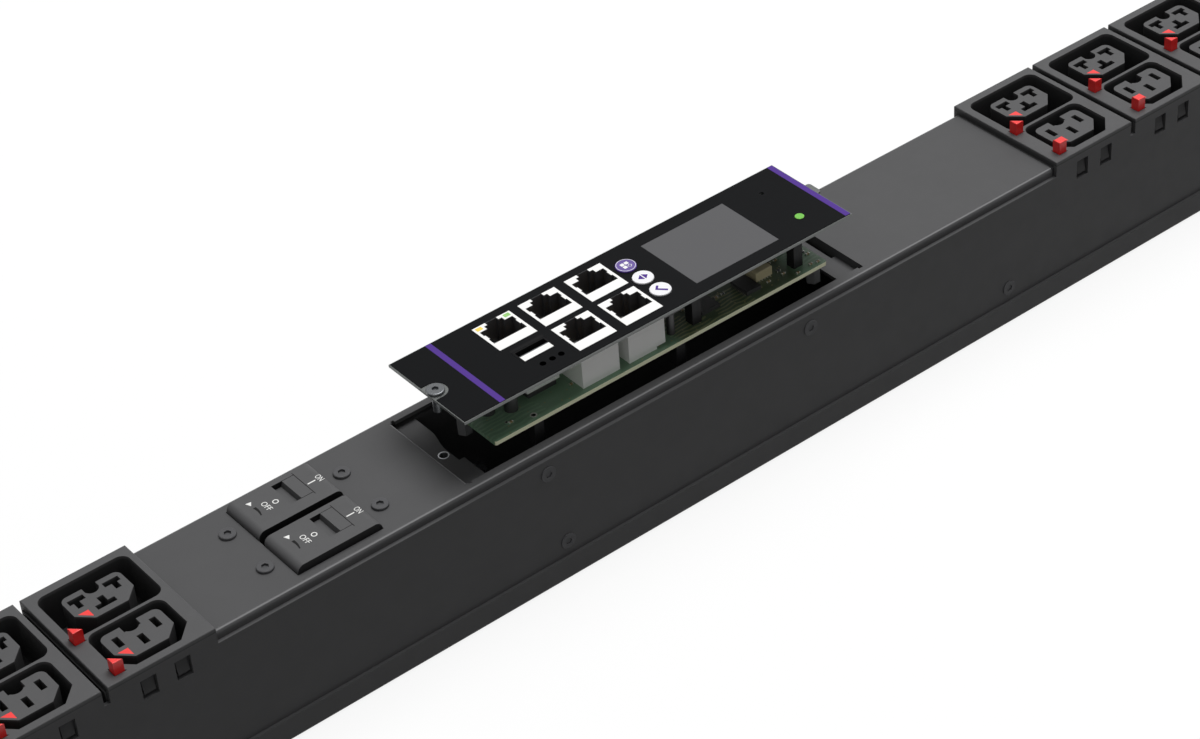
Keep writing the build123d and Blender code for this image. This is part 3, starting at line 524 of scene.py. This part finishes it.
class RackUnitBreakers(bpy.types.PropertyGroup):
    """Circuit breakers and the marks printed on them."""
    case: colour_property("Case", "breakers' cases", "#505051")
    print_white: colour_property("Print", "switch marks", "#f0f0ee")
    ink: length_property("Ink", "Thickness of the printed marks", 0.06)
    letter: length_property("Letter height", "Height of the words", 2.2)


class RackUnitController(bpy.types.PropertyGroup):
    """Lifted controller: plate, film, keys, sockets and board."""
    film: colour_property("Film", "printed face", "#090a0c")
    accent: colour_property("Accent", "strips and of the first key", "#50338a")
    plate: colour_property("Plate", "passivated plate under the film", "#5e605f")
    display: colour_property("Display", "display when it is off", "#535355")
    socket: colour_property("Sockets", "modular sockets", "#f2f2f0")
    # This colour also lines the sockets' ports as painted shade.
    insert: colour_property("Inserts", "sockets' dark inside", "#3a3a3c")
    board: colour_property("Board", "solder mask", "#6c8a70")
    board_edge: colour_property("Board edge", "sawn laminate", "#fafdd0")
    gold: colour_property("Gold", "plated spring contacts", "#d8b25a")
    bright: colour_property("Bright steel", "captive screw and the metal shell", "#626466")
    strip: length_property("Strip", "Width of the coloured strips", 2.3)
    status: colour_property("Status lamp", "lit status lamp", "#62a83a")
    link: colour_property("Link lamp", "socket's link lamp", "#86b866")
    activity: colour_property("Activity lamp", "socket's activity lamp", "#e2c456")


class RackUnitStage(bpy.types.PropertyGroup):
    """Floor, lamps and camera."""
    key: power_property("Top light", "Power of the large lamp above", 70)
    fill: power_property("Fill light", "Power of the lamp on the camera's side", 3)
    ambient: bpy.props.FloatProperty(name="Surroundings", description="Strength of the plain surroundings",
                                     default=0.2, min=0)


# Pieces


class RACKUNIT_OT_housing(bpy.types.Operator):
    """Coats the sheet metal and plates the fasteners"""
    bl_idname = "rackunit.housing"
    bl_label = "Finish Housing"

    def execute(self, context):
        look = context.scene.rackunit_housing
        coat_steel = powder_coat("Powder-coated steel, satin", look.coat, look.coat_roughness, look.peel / MM)
        zinc = plated("Zinc-plated steel, turned", look.zinc, 0.35)
        black = moulded("Phosphated steel screw, headed", look.screw, 0.5, 0.5, 0.01, 0.08, level=0.15)
        nylon = moulded("Glass-filled nylon, moulded", look.end_plastic, 0.5, 0.4, level=0.25)
        coat(coat_steel, "base_channel", "back_cover", "front_cover", "end_lid_left", "end_lid_right")
        coat(zinc, "anchor_nut", "side_nuts", "mounting_nuts")
        coat(black, "side_screws", "breaker_screws")
        coat(nylon, "end_cap_left", "end_cap_right", "cable_gland", "gland_lock_nut")
        return {"FINISHED"}


class RACKUNIT_OT_outlets(bpy.types.Operator):
    """Finishes the outlet blocks, the release buttons and the inner conductors"""
    bl_idname = "rackunit.outlets"
    bl_label = "Finish Outlets"

    def execute(self, context):
        look = context.scene.rackunit_outlets
        blocks = range(1, 7)
        block = well_block("Glass-filled polyamide outlet, moulded", look.block, look.grain / MM,
                           top_of("outlet_block_1"))
        red = moulded("Red polycarbonate, moulded", look.release, 0.34, 0.3, 0.008, 0.04, 1.58)
        brass = plated("Brass strip, stamped", look.contact, 0.3, (0.2, 2.0, 0.2))
        copper = plated("Tinned copper bar, drawn", linear("#b9b3a4"), 0.34, (3.0, 0.15, 0.15))
        coat(block, *[f"outlet_block_{n}" for n in blocks])
        coat(red, "lock_pins", *[f"{kind}_release_{n}" for n in blocks for kind in ("narrow", "wide")])
        coat(brass, "contact_clips")
        coat(copper, "live_bus_bar", "earth_bus_bar", "neutral_bus_bar")
        return {"FINISHED"}


# The breakers' middles, and places from there: words with their length over their height, the bar, the ring,
# the arrowhead's corners, and the bowed slot and the gap beyond the rocker, which are drawn as flat painted
# shade.
BREAKERS = {"a": (-135.5, 11.4), "b": (-135.5, -11.4)}
SWITCH_WORDS = (("ON", 1.5, 14.45, 0.15), ("OFF", 2.2, -6.9, 0.05))
SWITCH_BAR = (9.6, 12.7, -0.2, 0.3)
RING_X, RING_OUTER, RING_INNER = -3.4, 1.1, 0.75
ARROWHEAD = ((-11.7, 5.8), (-10.75, 3.6), (-9.6, 5.4))
SLOT_X, SLOT_BOW, SLOT_FAR, SLOT_NEAR = -11.0, 0.3, 2.2, -2.6
SLOT_WIDE, SLOT_THIN, SLOT_STEPS = 1.1, 0.5, 9
GAP_FROM, GAP_TO = 0.02, 0.3


class RACKUNIT_OT_breakers(bpy.types.Operator):
    """Finishes the breakers, their rockers and the terminal block, and prints the switch marks"""
    bl_idname = "rackunit.breakers"
    bl_label = "Finish Breakers"

    def execute(self, context):
        look = context.scene.rackunit_breakers
        case = moulded("Thermoset breaker case, moulded", look.case, 0.5, 0.4, level=0.15)
        # Painted shade on the sides that face along Y, for the cases, rockers and terminal block.
        painted_side_shade(case, linear("#141415"))
        coat(case, "circuit_breaker_a", "circuit_breaker_b", "breaker_rocker_a", "breaker_rocker_b",
             "terminal_block")
        white = screen_print("White ink, screen printed", look.print_white)
        # Near-black painted shade for the bowed slot and the gap beyond the rocker.
        dark = moulded("Painted shade of slot and gap", linear("#0c0c0c"), 0.6, 0.3, level=0.1)
        for letter in BREAKERS:
            self.print_marks(letter, white, look)
            self.slot_and_gap_shade(letter, dark)
        return {"FINISHED"}

    def print_marks(self, letter, white, look):
        """ON with its bar, the ring with OFF, and a small arrowhead, all as raised ink."""
        centre = BREAKERS[letter]
        x, y = centre
        z, ink, height = top_of(f"circuit_breaker_{letter}"), look.ink / MM, look.letter / MM
        for word, ratio, along, across in SWITCH_WORDS:
            lettering(word, (ratio * height, height), ink, (x + along, y + across), z,
                      f"breaker_{letter}_{word.lower()}_word", white, "housing", "breaker_plastic")
        bar = slab(rectangle(*SWITCH_BAR) + centre, z, z + ink)
        ring = hoop(x + RING_X, y, z, RING_OUTER, RING_INNER, ink)
        arrow = slab(np.array(ARROWHEAD) + centre, z, z + ink)
        wrap(f"breaker_{letter}_marks", *joined(bar, ring, arrow), white, "housing", "breaker_plastic")

    def slot_and_gap_shade(self, letter, dark):
        """Painted shade: flat near-black pieces over the bowed slot beside OFF and the gap at the rocker's
        far end.
        """
        x, y = BREAKERS[letter]
        z = top_of(f"circuit_breaker_{letter}")
        levels = z - 0.02, z + 0.015
        across = np.linspace(SLOT_FAR, SLOT_NEAR, SLOT_STEPS)
        half = (SLOT_FAR - SLOT_NEAR) / 2
        bow = SLOT_X + SLOT_BOW * np.cos(across / half * math.pi / 2)
        edge = np.column_stack([x + bow, y + across])
        taper = np.linspace(SLOT_WIDE, SLOT_THIN, SLOT_STEPS)[:, None] * (1, 0)
        slot = slab(np.concatenate([edge, (edge + taper)[::-1]]), *levels)
        low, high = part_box(f"breaker_rocker_{letter}")
        right = high.x / MM
        gap = slab(rectangle(right + GAP_FROM, right + GAP_TO, low.y / MM, high.y / MM), *levels)
        wrap(f"breaker_{letter}_painted_slot_shade", *joined(slot, gap), dark, "housing", "breaker_plastic")


# Middle of the left strip and the ink's thickness; the link lamps in a row, and how deep their caps go.
STRIP_X, PRINT = -66.2, 0.03
LINK_LAMPS, LINK_ROW, LINK_RADIUS, LINK_SUNK = (-43.9, -39.8, -36.0), -14.4, 1.16, 0.19


class RACKUNIT_OT_face(bpy.types.Operator):
    """Finishes the controller's plate and film, and lays the coloured strips"""
    bl_idname = "rackunit.face"
    bl_label = "Finish Controller Face"

    def execute(self, context):
        look = context.scene.rackunit_controller
        plate = plated("Passivated steel plate, stamped", look.plate, 0.38, (2.0, 0.15, 0.15))
        film = velvet_film("Velvet polyester film", look.film)
        accent = screen_print("Accent ink, screen printed", look.accent)
        display = screen_glass("Display window, hard coated", look.display)
        steel = plated("Bright steel, turned", look.bright, 0.28, (0.15, 0.15, 1.5))
        coat(plate, "controller_faceplate")
        coat(film, "controller_overlay")
        coat(display, "display_module")
        coat(steel, "captive_screw")
        low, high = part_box("controller_overlay")
        z, width, right = high.z / MM, look.strip / MM, high.x / MM
        strips = [slab(rectangle(x0, x1, low.y / MM, high.y / MM), z, z + PRINT)
                  for x0, x1 in ((STRIP_X - width / 2, STRIP_X + width / 2), (right - width, right))]
        wrap("face_strips", *joined(*strips), accent, "controller", "overlay_film")
        lamp = lamp_window("Status light pipe, acrylic", look.status, 0.35)
        coat(lamp, "light_pipes")
        dark = moulded("Unlit light pipe, smoked acrylic", linear("#010101"), 0.5, 0.3, level=0.0)
        caps = [slab(circle(x, LINK_ROW, LINK_RADIUS), z - LINK_SUNK, z + PRINT) for x in LINK_LAMPS]
        wrap("link_lamp_caps", *joined(*caps), dark, "controller", "lamp_lens")
        return {"FINISHED"}


# Symbols on the keys, from a key's middle: the squares' near left corners, the radii of the ring and of the
# diamond, the upper arrow and the tick.
MENU_SQUARES, MENU_SIDE, MENU_CORNER = ((-1.65, 0.15), (-1.65, -1.65), (0.15, 0.15)), 1.5, 0.3
MENU_RING, DIAMOND, DIAMOND_PLACE = (3.58, 3.4), (0.95, 0.7), 1.05
SCROLL_ARROW = ((0.25, -1.6), (2.1, 0.0), (0.25, 1.6))
TICK = ((0.6, 1.8), (-0.6, 0.6), (1.9, -2.0), (1.2, -2.6), (-1.8, 0.6), (-0.1, 2.3))
KEY_INK = 0.04


class RACKUNIT_OT_keys(bpy.types.Operator):
    """Finishes the three keys and prints their symbols"""
    bl_idname = "rackunit.keys"
    bl_label = "Finish Keys"

    def execute(self, context):
        look = context.scene.rackunit_controller
        purple = moulded("Accent key, moulded", look.accent, 0.4, 0.3, 0.004, 0.03)
        white = moulded("White key, moulded", linear("#ebebee"), 0.4, 0.3, 0.004, 0.02)
        coat(purple, "menu_key")
        coat(white, "scroll_key", "select_key")
        ink_white = screen_print("White key ink, pad printed", linear("#f2f2f2"))
        ink_accent = screen_print("Accent key ink, pad printed", look.accent)
        x, y = middle_of("menu_key")
        z = top_of("menu_key")
        squares = [slab(soft_rectangle(x + a, x + a + MENU_SIDE, y + b, y + b + MENU_SIDE, MENU_CORNER), z,
                        z + KEY_INK) for a, b in MENU_SQUARES]
        border = hoop(x, y, z, *MENU_RING, KEY_INK, 48)
        diamond = hoop(x + DIAMOND_PLACE, y - DIAMOND_PLACE, z, *DIAMOND, KEY_INK, 4)
        wrap("menu_symbol", *joined(border, *squares, diamond), ink_white, "menu_key", "white_plastic")
        arrow = np.array(SCROLL_ARROW)
        arrows = [slab(way * arrow + middle_of("scroll_key"), z, z + KEY_INK) for way in (1, -1)]
        wrap("scroll_symbol", *joined(*arrows), ink_accent, "scroll_key", "purple_key")
        tick = slab(np.array(TICK) + middle_of("select_key"), z, z + KEY_INK)
        wrap("select_symbol", *tick, ink_accent, "select_key", "purple_key")
        return {"FINISHED"}


# Half of a modular socket's opening, and the whole of it.
PORT_HALF = [(7.05, -3.6), (7.05, -0.4), (6.55, -0.4), (6.55, 2.2), (7.05, 2.2), (7.05, 4.85), (3.85, 4.85),
             (3.85, 6.65), (2.45, 6.65), (2.45, 8.1)]
PORT = np.array(PORT_HALF + [(-x, y) for x, y in PORT_HALF[::-1]])
JACKS = ("ethernet_jack", "link_in_jack", "sensor_jack_1", "link_out_jack", "sensor_jack_2")
# Inside a socket: the cup that lines the port with painted shade, the contact carrier with its floor and top,
# and the springs' path in Y and Z.
CUP_SUNK, CUP_DEPTH = 0.02, 11.9
CARRIER, CARRIER_FLOOR, CARRIER_TOP = (-6.45, 6.45, -3.5, -2.24), -11.8, -1.54
SPRING = ((0, -2.1, -4.4), (0, -1.9, -4.8), (0, 0.4, -6.6), (0, 1.5, -8.2), (0, 1.2, -9.2), (0, -0.6, -11.5))
SPRING_RADIUS, SPRING_PITCH, SPRINGS = 0.18, 1.02, 8
# A lamp window's near and far side, and its corners' radius.
WINDOW_X, WINDOW_Y, WINDOW_CORNER = (4.7, 7.2), (5.7, 7.5), 0.2
# The serial socket, from its middle: its tongue, strips, the frame's four bars and a strip of painted shade
# beyond them, and its well, lined with painted shade.
TONGUE = (-6.2, 6.2, -3.1, -0.25)
STRIP, STRIP_PLACES = (-0.5, 0.5, -0.3, -0.05), (-3.5, -1.0, 1.0, 3.5)
FRAME_BARS = ((-6.8, -6.2, -3.4, 3.4), (6.2, 6.8, -3.4, 3.4), (-6.2, 6.2, -3.4, -3.1), (-6.2, 6.2, 2.9, 3.4))
RECESS_SHADE, WELL, WELL_DEPTH = (-6.8, 7.2, 3.55, 5.0), (-6.28, 6.28, 0.22, 2.88), 10.8
BODY_GAP, BODY_WALL, BODY_LOW = 0.15, 0.14, 1.3


class RACKUNIT_OT_sockets(bpy.types.Operator):
    """Lines the sockets, and adds their spring contacts, lamp windows and the white tongue"""
    bl_idname = "rackunit.sockets"
    bl_label = "Finish Sockets"

    def execute(self, context):
        look = context.scene.rackunit_controller
        white = moulded("White thermoplastic polyester, moulded", look.socket, 0.42, 0.3, 0.004, 0.02)
        black = moulded("Black thermoplastic insert, moulded", look.insert, 0.45, 0.3, 0.006, 0.05)
        gold = plated("Gold-plated spring wire", look.gold, 0.22, (0.1, 0.1, 1.0))
        steel = plated("Nickel-plated shell, drawn", look.bright, 0.3, (0.1, 1.5, 0.1))
        coat(white, *JACKS)
        coat(steel, "usb_socket")
        spring = wire(SPRING, SPRING_RADIUS)
        for name in JACKS:
            x, y = centre = middle_of(name)
            z = top_of(name)
            # Painted shade: the cup lines the port's white walls in this dark colour; the contact carrier
            # below is a dark part.
            cup = liner(PORT + centre, z - CUP_SUNK, CUP_DEPTH)
            carrier = slab(rectangle(*CARRIER) + centre, z + CARRIER_FLOOR, z + CARRIER_TOP)
            wrap(f"{name}_insert", *joined(cup, carrier), black, "controller", "black_plastic")
            places = [(x + (i - (SPRINGS - 1) / 2) * SPRING_PITCH, y, z) for i in range(SPRINGS)]
            wrap(f"{name}_contacts", *repeated(spring, places), gold, "controller", "brass")
        self.lamps(look)
        self.serial(look, gold)
        return {"FINISHED"}

    def lamps(self, look):
        """Two rectangular lamp windows in the far corners of the network socket."""
        x, y = middle_of("ethernet_jack")
        z = top_of("ethernet_jack")
        for name, colour, way in (("activity", look.activity, -1), ("link", look.link, 1)):
            material = lamp_window(f"{name.capitalize()} lamp window, acrylic", colour, 0.25)
            left, right = sorted(x + way * side for side in WINDOW_X)
            outline = soft_rectangle(left, right, *[y + side for side in WINDOW_Y], WINDOW_CORNER)
            wrap(f"{name}_lamp_window", *slab(outline, z - 0.3, z + 0.04, 0.02), material, "controller",
                 "lamp_lens")

    def serial(self, look, gold):
        """White tongue of the serial socket with its contact strips, its white body below the plate, and a
            black frame over the shell's rim, with a dark well lining and a dark strip beyond the frame as
            painted shade."""
        white = moulded("White insulator, moulded", look.socket, 0.4, 0.3, 0.004, 0.02)
        black = moulded("Black socket frame and painted shade, moulded", linear("#101011"), 0.55, 0.3, 0.006, 0.05, level=0.05)
        x, y = centre = middle_of("usb_socket")
        z = top_of("usb_socket")
        tongue = slab(rectangle(*TONGUE) + centre, z - 0.4, z + 0.05, 0.02)
        wrap("serial_socket_tongue", *tongue, white, "controller", "white_plastic")
        strips = repeated(slab(rectangle(*STRIP), -9.0, -1.0), [(x + d, y + 0.05, z) for d in STRIP_PLACES])
        wrap("serial_socket_contacts", *strips, gold, "controller", "brass")
        low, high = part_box("usb_socket")
        around = rectangle(low.x / MM - BODY_GAP, high.x / MM + BODY_GAP, low.y / MM - BODY_GAP,
                           high.y / MM + BODY_GAP)
        rim = top_of("controller_faceplate") - BODY_LOW
        shell = liner(around, rim, rim - low.z / MM - 0.1, BODY_WALL)
        wrap("serial_socket_body", *shell, white, "controller", "white_plastic")
        bars = [slab(rectangle(*bar) + centre, z, z + 0.04) for bar in FRAME_BARS]
        # Painted shade: the strip beyond the frame and the well's lining stand in for the shade in the
        # socket's recess.
        recess_shade = slab(rectangle(*RECESS_SHADE) + centre, z, z + 0.03)
        well = liner(rectangle(*WELL) + centre, z - CUP_SUNK, WELL_DEPTH)
        wrap("serial_socket_frame", *joined(*bars, recess_shade, well), black, "controller", "black_plastic")


# Where larger parts stand on the board (x0, x1, y0, y1), and the grid of the small parts between them, which
# shift a little and are sparse at the near edge.
TAKEN = ((-51, -33, -10.5, 19), (-31.5, -13, -19, 19), (-11, 7, -19, 19), (5, 18, -19, 19),
         (18.5, 25.5, -18, -10), (25, 36, -16, -4), (43.5, 53, -18, -5), (51, 62, -14, -4),
         (66, 73, -17.5, -9.5), (66, 73, 10, 18), (71, 79, 0, 8), (-66, -51, -12.5, -1), (-63, -53, 0, 16),
         (-68, -62, 12, 19), (-53.5, -49.5, -19, -14.5), (36, 46, -19, -10))
GRID_X, GRID_Y, SHIFT = (-66, 78, 3.4), (-17.6, 12.0, 2.7), 0.5
NEAR_EDGE, SPARSE_END, SPARSE, DENSE = -5, 62, 0.12, 0.5
# The square chip's sides and first lead, and the lead's path in X and Z.
CHIP_SIDES, FIRST_LEAD, LEADS, LEAD_PITCH = (45.0, 51.5), -15.3, 11, 0.76
LEAD = ((0, 0, 0.8), (0.3, 0, 0.8), (0.45, 0, 0.45), (0.6, 0, 0.1), (1.0, 0, 0.1))
CONNECTOR, CONNECTOR_HEIGHT, FIRST_PIN, PINS, PIN_PITCH = (52.5, 60.1, -12.1, -5.9), 3.7, 53.8, 5, 1.25
# Holes near the board's left corner: x, y, the ring's radius and the bore's.
HOLES = ((-51.6, -17.0, 1.3, 0.8), (-60.7, -13.7, 0.6, 0.45))
# Middle of the supports along X, and how far from it the black feet end.
SUPPORTS_X, FEET_END = 4.5, 68.6


class RACKUNIT_OT_board(bpy.types.Operator):
    """Finishes the circuit board and solders its small parts"""
    bl_idname = "rackunit.board"
    bl_label = "Finish Circuit Board"

    def execute(self, context):
        look = context.scene.rackunit_controller
        board = mask_board("Glass-epoxy board, green mask", look.board, look.board_edge, linear("#8d8a62"))
        chip = moulded("Epoxy chip body, moulded", linear("#1b1b1c"), 0.45, 0.3)
        dark = moulded("Black nylon post, moulded", linear("#101011"), 0.5, 0.3, level=0.15)
        self.bright_standoffs(dark)
        coat(board, "circuit_board")
        coat(chip, "board_parts", "key_switches")
        coat(dark, "board_supports")
        tin = plated("Tinned copper leads", linear("#c9c9c4"), 0.3, (0.1, 0.1, 0.8))
        ceramic = moulded("Ceramic chip parts, fired", linear("#8c7a55"), 0.4, 0.2)
        resist = moulded("Thick-film resistors, glazed", linear("#23262b"), 0.3, 0.2)
        shell = moulded("Nylon connector, moulded", linear("#c9bf9a"), 0.45, 0.3, 0.006, 0.04)
        z = top_of("circuit_board")
        self.small_parts(z, ceramic, resist, tin)
        # The leads lie under the plate, and their tin is painted darker there as shade.
        self.leads(z, plated("Tinned leads in painted shade", linear("#4c4c48"), 0.5, (0.1, 0.1, 0.8)))
        self.connector(z, shell, tin)
        self.plated_holes(z, tin)
        return {"FINISHED"}

    def bright_standoffs(self, made):
        """Pales the hexagonal standoffs, which stand beyond the rows of black feet along X."""
        tree = made.node_tree
        along = away(tree, share_along(tree, own_place(tree), "X"), SUPPORTS_X * MM)
        repaint(made, maths(tree, "GREATER_THAN", along, FEET_END * MM), linear("#6c6d6e"))

    def small_parts(self, z, ceramic, resist, tin):
        """Chip capacitors and resistors 1.6 by 0.8 mm: a body with a tinned cap at each end."""
        draw = np.random.default_rng(7)
        columns, rows = np.meshgrid(np.arange(*GRID_X), np.arange(*GRID_Y), indexing="ij")
        spots = np.column_stack([columns.ravel(), rows.ravel()])
        spots += draw.uniform(-SHIFT, SHIFT, spots.shape)
        x, y = spots.T
        free = np.ones(len(spots), bool)
        for x0, x1, y0, y1 in TAKEN:
            free &= ~((x > x0) & (x < x1) & (y > y0) & (y < y1))
        spots = spots[free]
        x, y = spots.T
        pick = draw.random(len(spots))
        share = np.where((y < NEAR_EDGE) & (x < SPARSE_END), SPARSE, DENSE)
        used, capacitor = pick < share, pick < share / 2
        body = slab(rectangle(-0.5, 0.5, -0.38, 0.38), 0, 0.55, 0.05)
        caps = joined(*[slab(rectangle(x0, x0 + 0.3, -0.4, 0.4), 0, 0.58, 0.05) for x0 in (-0.8, 0.5)])
        for name, shape, chosen, material in (("chip_capacitors", body, capacitor, ceramic),
                                              ("chip_resistors", body, used & ~capacitor, resist),
                                              ("chip_end_caps", caps, used, tin)):
            places = np.column_stack([spots[chosen], np.full(chosen.sum(), z)])
            wrap(name, *repeated(shape, places), material, "controller", "black_plastic")

    def leads(self, z, tin):
        """Gull-wing leads on both long sides of the square chip: each goes out, down and out again."""
        lead = wire(LEAD, 0.11, 4)
        rows = FIRST_LEAD + np.arange(LEADS) * LEAD_PITCH
        left, right = CHIP_SIDES
        right_row = repeated(lead, [(right, y, z) for y in rows])
        points, faces = repeated(lead, [(-left, y, z) for y in rows])
        left_row = (points * (-1, 1, 1), [face[::-1] for face in faces])
        wrap("chip_leads", *joined(right_row, left_row), tin, "controller", "bright_steel")

    def connector(self, z, shell, tin):
        """Pale connector over its block, with a row of pins in front."""
        outer = slab(rectangle(*CONNECTOR), z, z + CONNECTOR_HEIGHT, 0.2)
        wrap("board_connector", *outer, shell, "controller", "white_plastic")
        pin = slab(rectangle(-0.2, 0.2, -0.6, 0.0), 0, 0.3)
        pins = repeated(pin, [(FIRST_PIN + i * PIN_PITCH, CONNECTOR[2], z) for i in range(PINS)])
        wrap("connector_pins", *pins, tin, "controller", "bright_steel")

    def plated_holes(self, z, tin):
        """Ringed holes near the board's left corner, each with a flat dark disc of painted shade in its bore.
        """
        rings = [hoop(x, y, z, outer, inner, 0.04) for x, y, outer, inner in HOLES]
        wrap("board_hole_rings", *joined(*rings), tin, "controller", "bright_steel")
        # Painted shade: each bore is a flat near-black disc over the hole.
        bore_shades = [slab(circle(x, y, inner + 0.02), z, z + 0.02) for x, y, outer, inner in HOLES]
        bore = moulded("Painted shade in the bore", linear("#0b0c0b"), 0.6, 0.3, level=0.05)
        wrap("board_bore_shades", *joined(*bore_shades), bore, "controller", "black_plastic")


# Stage, in metres: the floor just under the back face, where the lamps aim, and the photograph's camera.
FLOOR_HALF, FLOOR_POINTS, FLOOR_Z = 12, 9, -0.0003
LAMP_AIM = (0, 0, 0.05)
FOCAL_LENGTH, SENSOR_WIDTH = 90.756, 36.0
CAMERA_PLACE, CAMERA_TURN = (-0.501539, -0.683290, 0.702649), (52.3098, 3.8494, -38.6915)
WHITE = (1, 1, 1, 1)


class RACKUNIT_OT_stage(bpy.types.Operator):
    """Lays the pale floor, hangs the lamps and sets the camera"""
    bl_idname = "rackunit.stage"
    bl_label = "Set Stage"

    def execute(self, context):
        look = context.scene.rackunit_stage
        self.floor()
        self.world(look)
        self.lamps(look)
        self.camera()
        return {"FINISHED"}

    def floor(self):
        """A flat grid under the back face: z is constant over x and y."""
        count = FLOOR_POINTS
        steps = np.linspace(-FLOOR_HALF, FLOOR_HALF, count)
        u, v = np.meshgrid(steps, steps, indexing="ij")
        points = np.stack([u, v, np.full(u.shape, FLOOR_Z)], -1).reshape(-1, 3)
        i, j = np.meshgrid(np.arange(count - 1), np.arange(count - 1), indexing="ij")
        first = i * count + j
        faces = np.stack([first, first + count, first + count + 1, first + 1], -1).reshape(-1, 4)
        mesh = bpy.data.meshes.new("floor")
        mesh.from_pydata(points.tolist(), [], faces.tolist())
        made = in_scene("floor", mesh)
        material = bpy.data.materials.new("White paper sweep")
        material.use_nodes = True
        tree = material.node_tree
        tree.nodes.clear()
        paper = add(tree, "ShaderNodeBsdfDiffuse", {"Color": linear("#ffffff")})
        bounce = add(tree, "ShaderNodeBsdfDiffuse", {"Color": linear("#5a5a5a")})
        glow = add(tree, "ShaderNodeEmission", {"Color": WHITE, "Strength": 1.0})
        bright = add(tree, "ShaderNodeMixShader", {0: 0.88, 1: paper.outputs[0], 2: glow.outputs[0]})
        visible = seen(tree, "Is Camera Ray", "Is Glossy Ray", "Is Transmission Ray")
        mixed = add(tree, "ShaderNodeMixShader", {0: visible, 1: bounce.outputs[0], 2: bright.outputs[0]})
        add(tree, "ShaderNodeOutputMaterial", {"Surface": mixed.outputs[0]})
        mesh.materials.append(material)

    def world(self, look):
        """White where it is seen, and a softer plain light elsewhere."""
        world = bpy.data.worlds.new("Plain surroundings")
        bpy.context.scene.world = world
        world.use_nodes = True
        tree = world.node_tree
        tree.nodes.clear()
        dim = add(tree, "ShaderNodeBackground", {"Color": WHITE, "Strength": look.ambient})
        bright = add(tree, "ShaderNodeBackground", {"Color": WHITE, "Strength": 1.0})
        visible = seen(tree, "Is Camera Ray", "Is Glossy Ray")
        mixed = add(tree, "ShaderNodeMixShader", {0: visible, 1: dim.outputs[0], 2: bright.outputs[0]})
        add(tree, "ShaderNodeOutputWorld", {"Surface": mixed.outputs[0]})

    def lamps(self, look):
        """Large soft lamps: one above and beyond the unit, one low on the camera's side."""
        for name, power, size, place in (("top_lamp", look.key, 1.8, (0.8, 0.3, 2.5)),
                                         ("fill_lamp", look.fill, 1.6, (-1.6, -1.8, 1.2))):
            data = bpy.data.lights.new(name, "AREA")
            data.shape, data.size, data.energy = "SQUARE", size, power
            lamp = in_scene(name, data)
            back = np.array(place) - np.array(LAMP_AIM)
            yaw = math.atan2(back[1], back[0]) + math.pi / 2
            tilt = math.atan2(math.hypot(back[0], back[1]), back[2])
            lamp.location, lamp.rotation_euler = place, (tilt, 0, yaw)

    def camera(self):
        """The photograph's viewing angle, on a 36 mm wide sensor."""
        data = bpy.data.cameras.new("camera")
        data.lens, data.sensor_width, data.sensor_fit = FOCAL_LENGTH, SENSOR_WIDTH, "HORIZONTAL"
        data.clip_start, data.clip_end = 0.05, 60
        made = in_scene("camera", data)
        made.location = CAMERA_PLACE
        made.rotation_euler = tuple(math.radians(a) for a in CAMERA_TURN)
        bpy.context.scene.camera = made


# Panel and run


GROUPS = (("rackunit_housing", RackUnitHousing), ("rackunit_outlets", RackUnitOutlets),
          ("rackunit_breakers", RackUnitBreakers), ("rackunit_controller", RackUnitController),
          ("rackunit_stage", RackUnitStage))
OPERATORS = (RACKUNIT_OT_stage, RACKUNIT_OT_housing, RACKUNIT_OT_outlets, RACKUNIT_OT_breakers,
             RACKUNIT_OT_face, RACKUNIT_OT_keys, RACKUNIT_OT_sockets, RACKUNIT_OT_board)


class RACKUNIT_PT_sidebar(bpy.types.Panel):
    """Lists the steps and the settings of the rack unit"""
    bl_idname = "RACKUNIT_PT_sidebar"
    bl_label = "Rack Unit"
    bl_space_type = "VIEW_3D"
    bl_region_type = "UI"
    bl_category = "Rack Unit"

    def draw(self, context):
        for operator in OPERATORS:
            self.layout.operator(operator.bl_idname)
        for name, group in GROUPS:
            box = self.layout.box()
            for key in group.__annotations__:
                box.prop(getattr(context.scene, name), key)


def register():
    """Registers the settings, the operators and the panel."""
    for name, group in GROUPS:
        bpy.utils.register_class(group)
        setattr(bpy.types.Scene, name, bpy.props.PointerProperty(type=group))
    for made in (*OPERATORS, RACKUNIT_PT_sidebar):
        bpy.utils.register_class(made)


def unregister():
    """Takes them away again, last first."""
    for made in (RACKUNIT_PT_sidebar, *reversed(OPERATORS)):
        bpy.utils.unregister_class(made)
    for name, group in reversed(GROUPS):
        delattr(bpy.types.Scene, name)
        bpy.utils.unregister_class(group)


def main():
    """Runs every step in order."""
    register()
    bpy.context.scene.view_settings.view_transform = "Standard"
    bpy.ops.rackunit.stage()
    bpy.ops.rackunit.housing()
    bpy.ops.rackunit.outlets()
    bpy.ops.rackunit.breakers()
    bpy.ops.rackunit.face()
    bpy.ops.rackunit.keys()
    bpy.ops.rackunit.sockets()
    bpy.ops.rackunit.board()


if __name__ == "__main__":
    main()
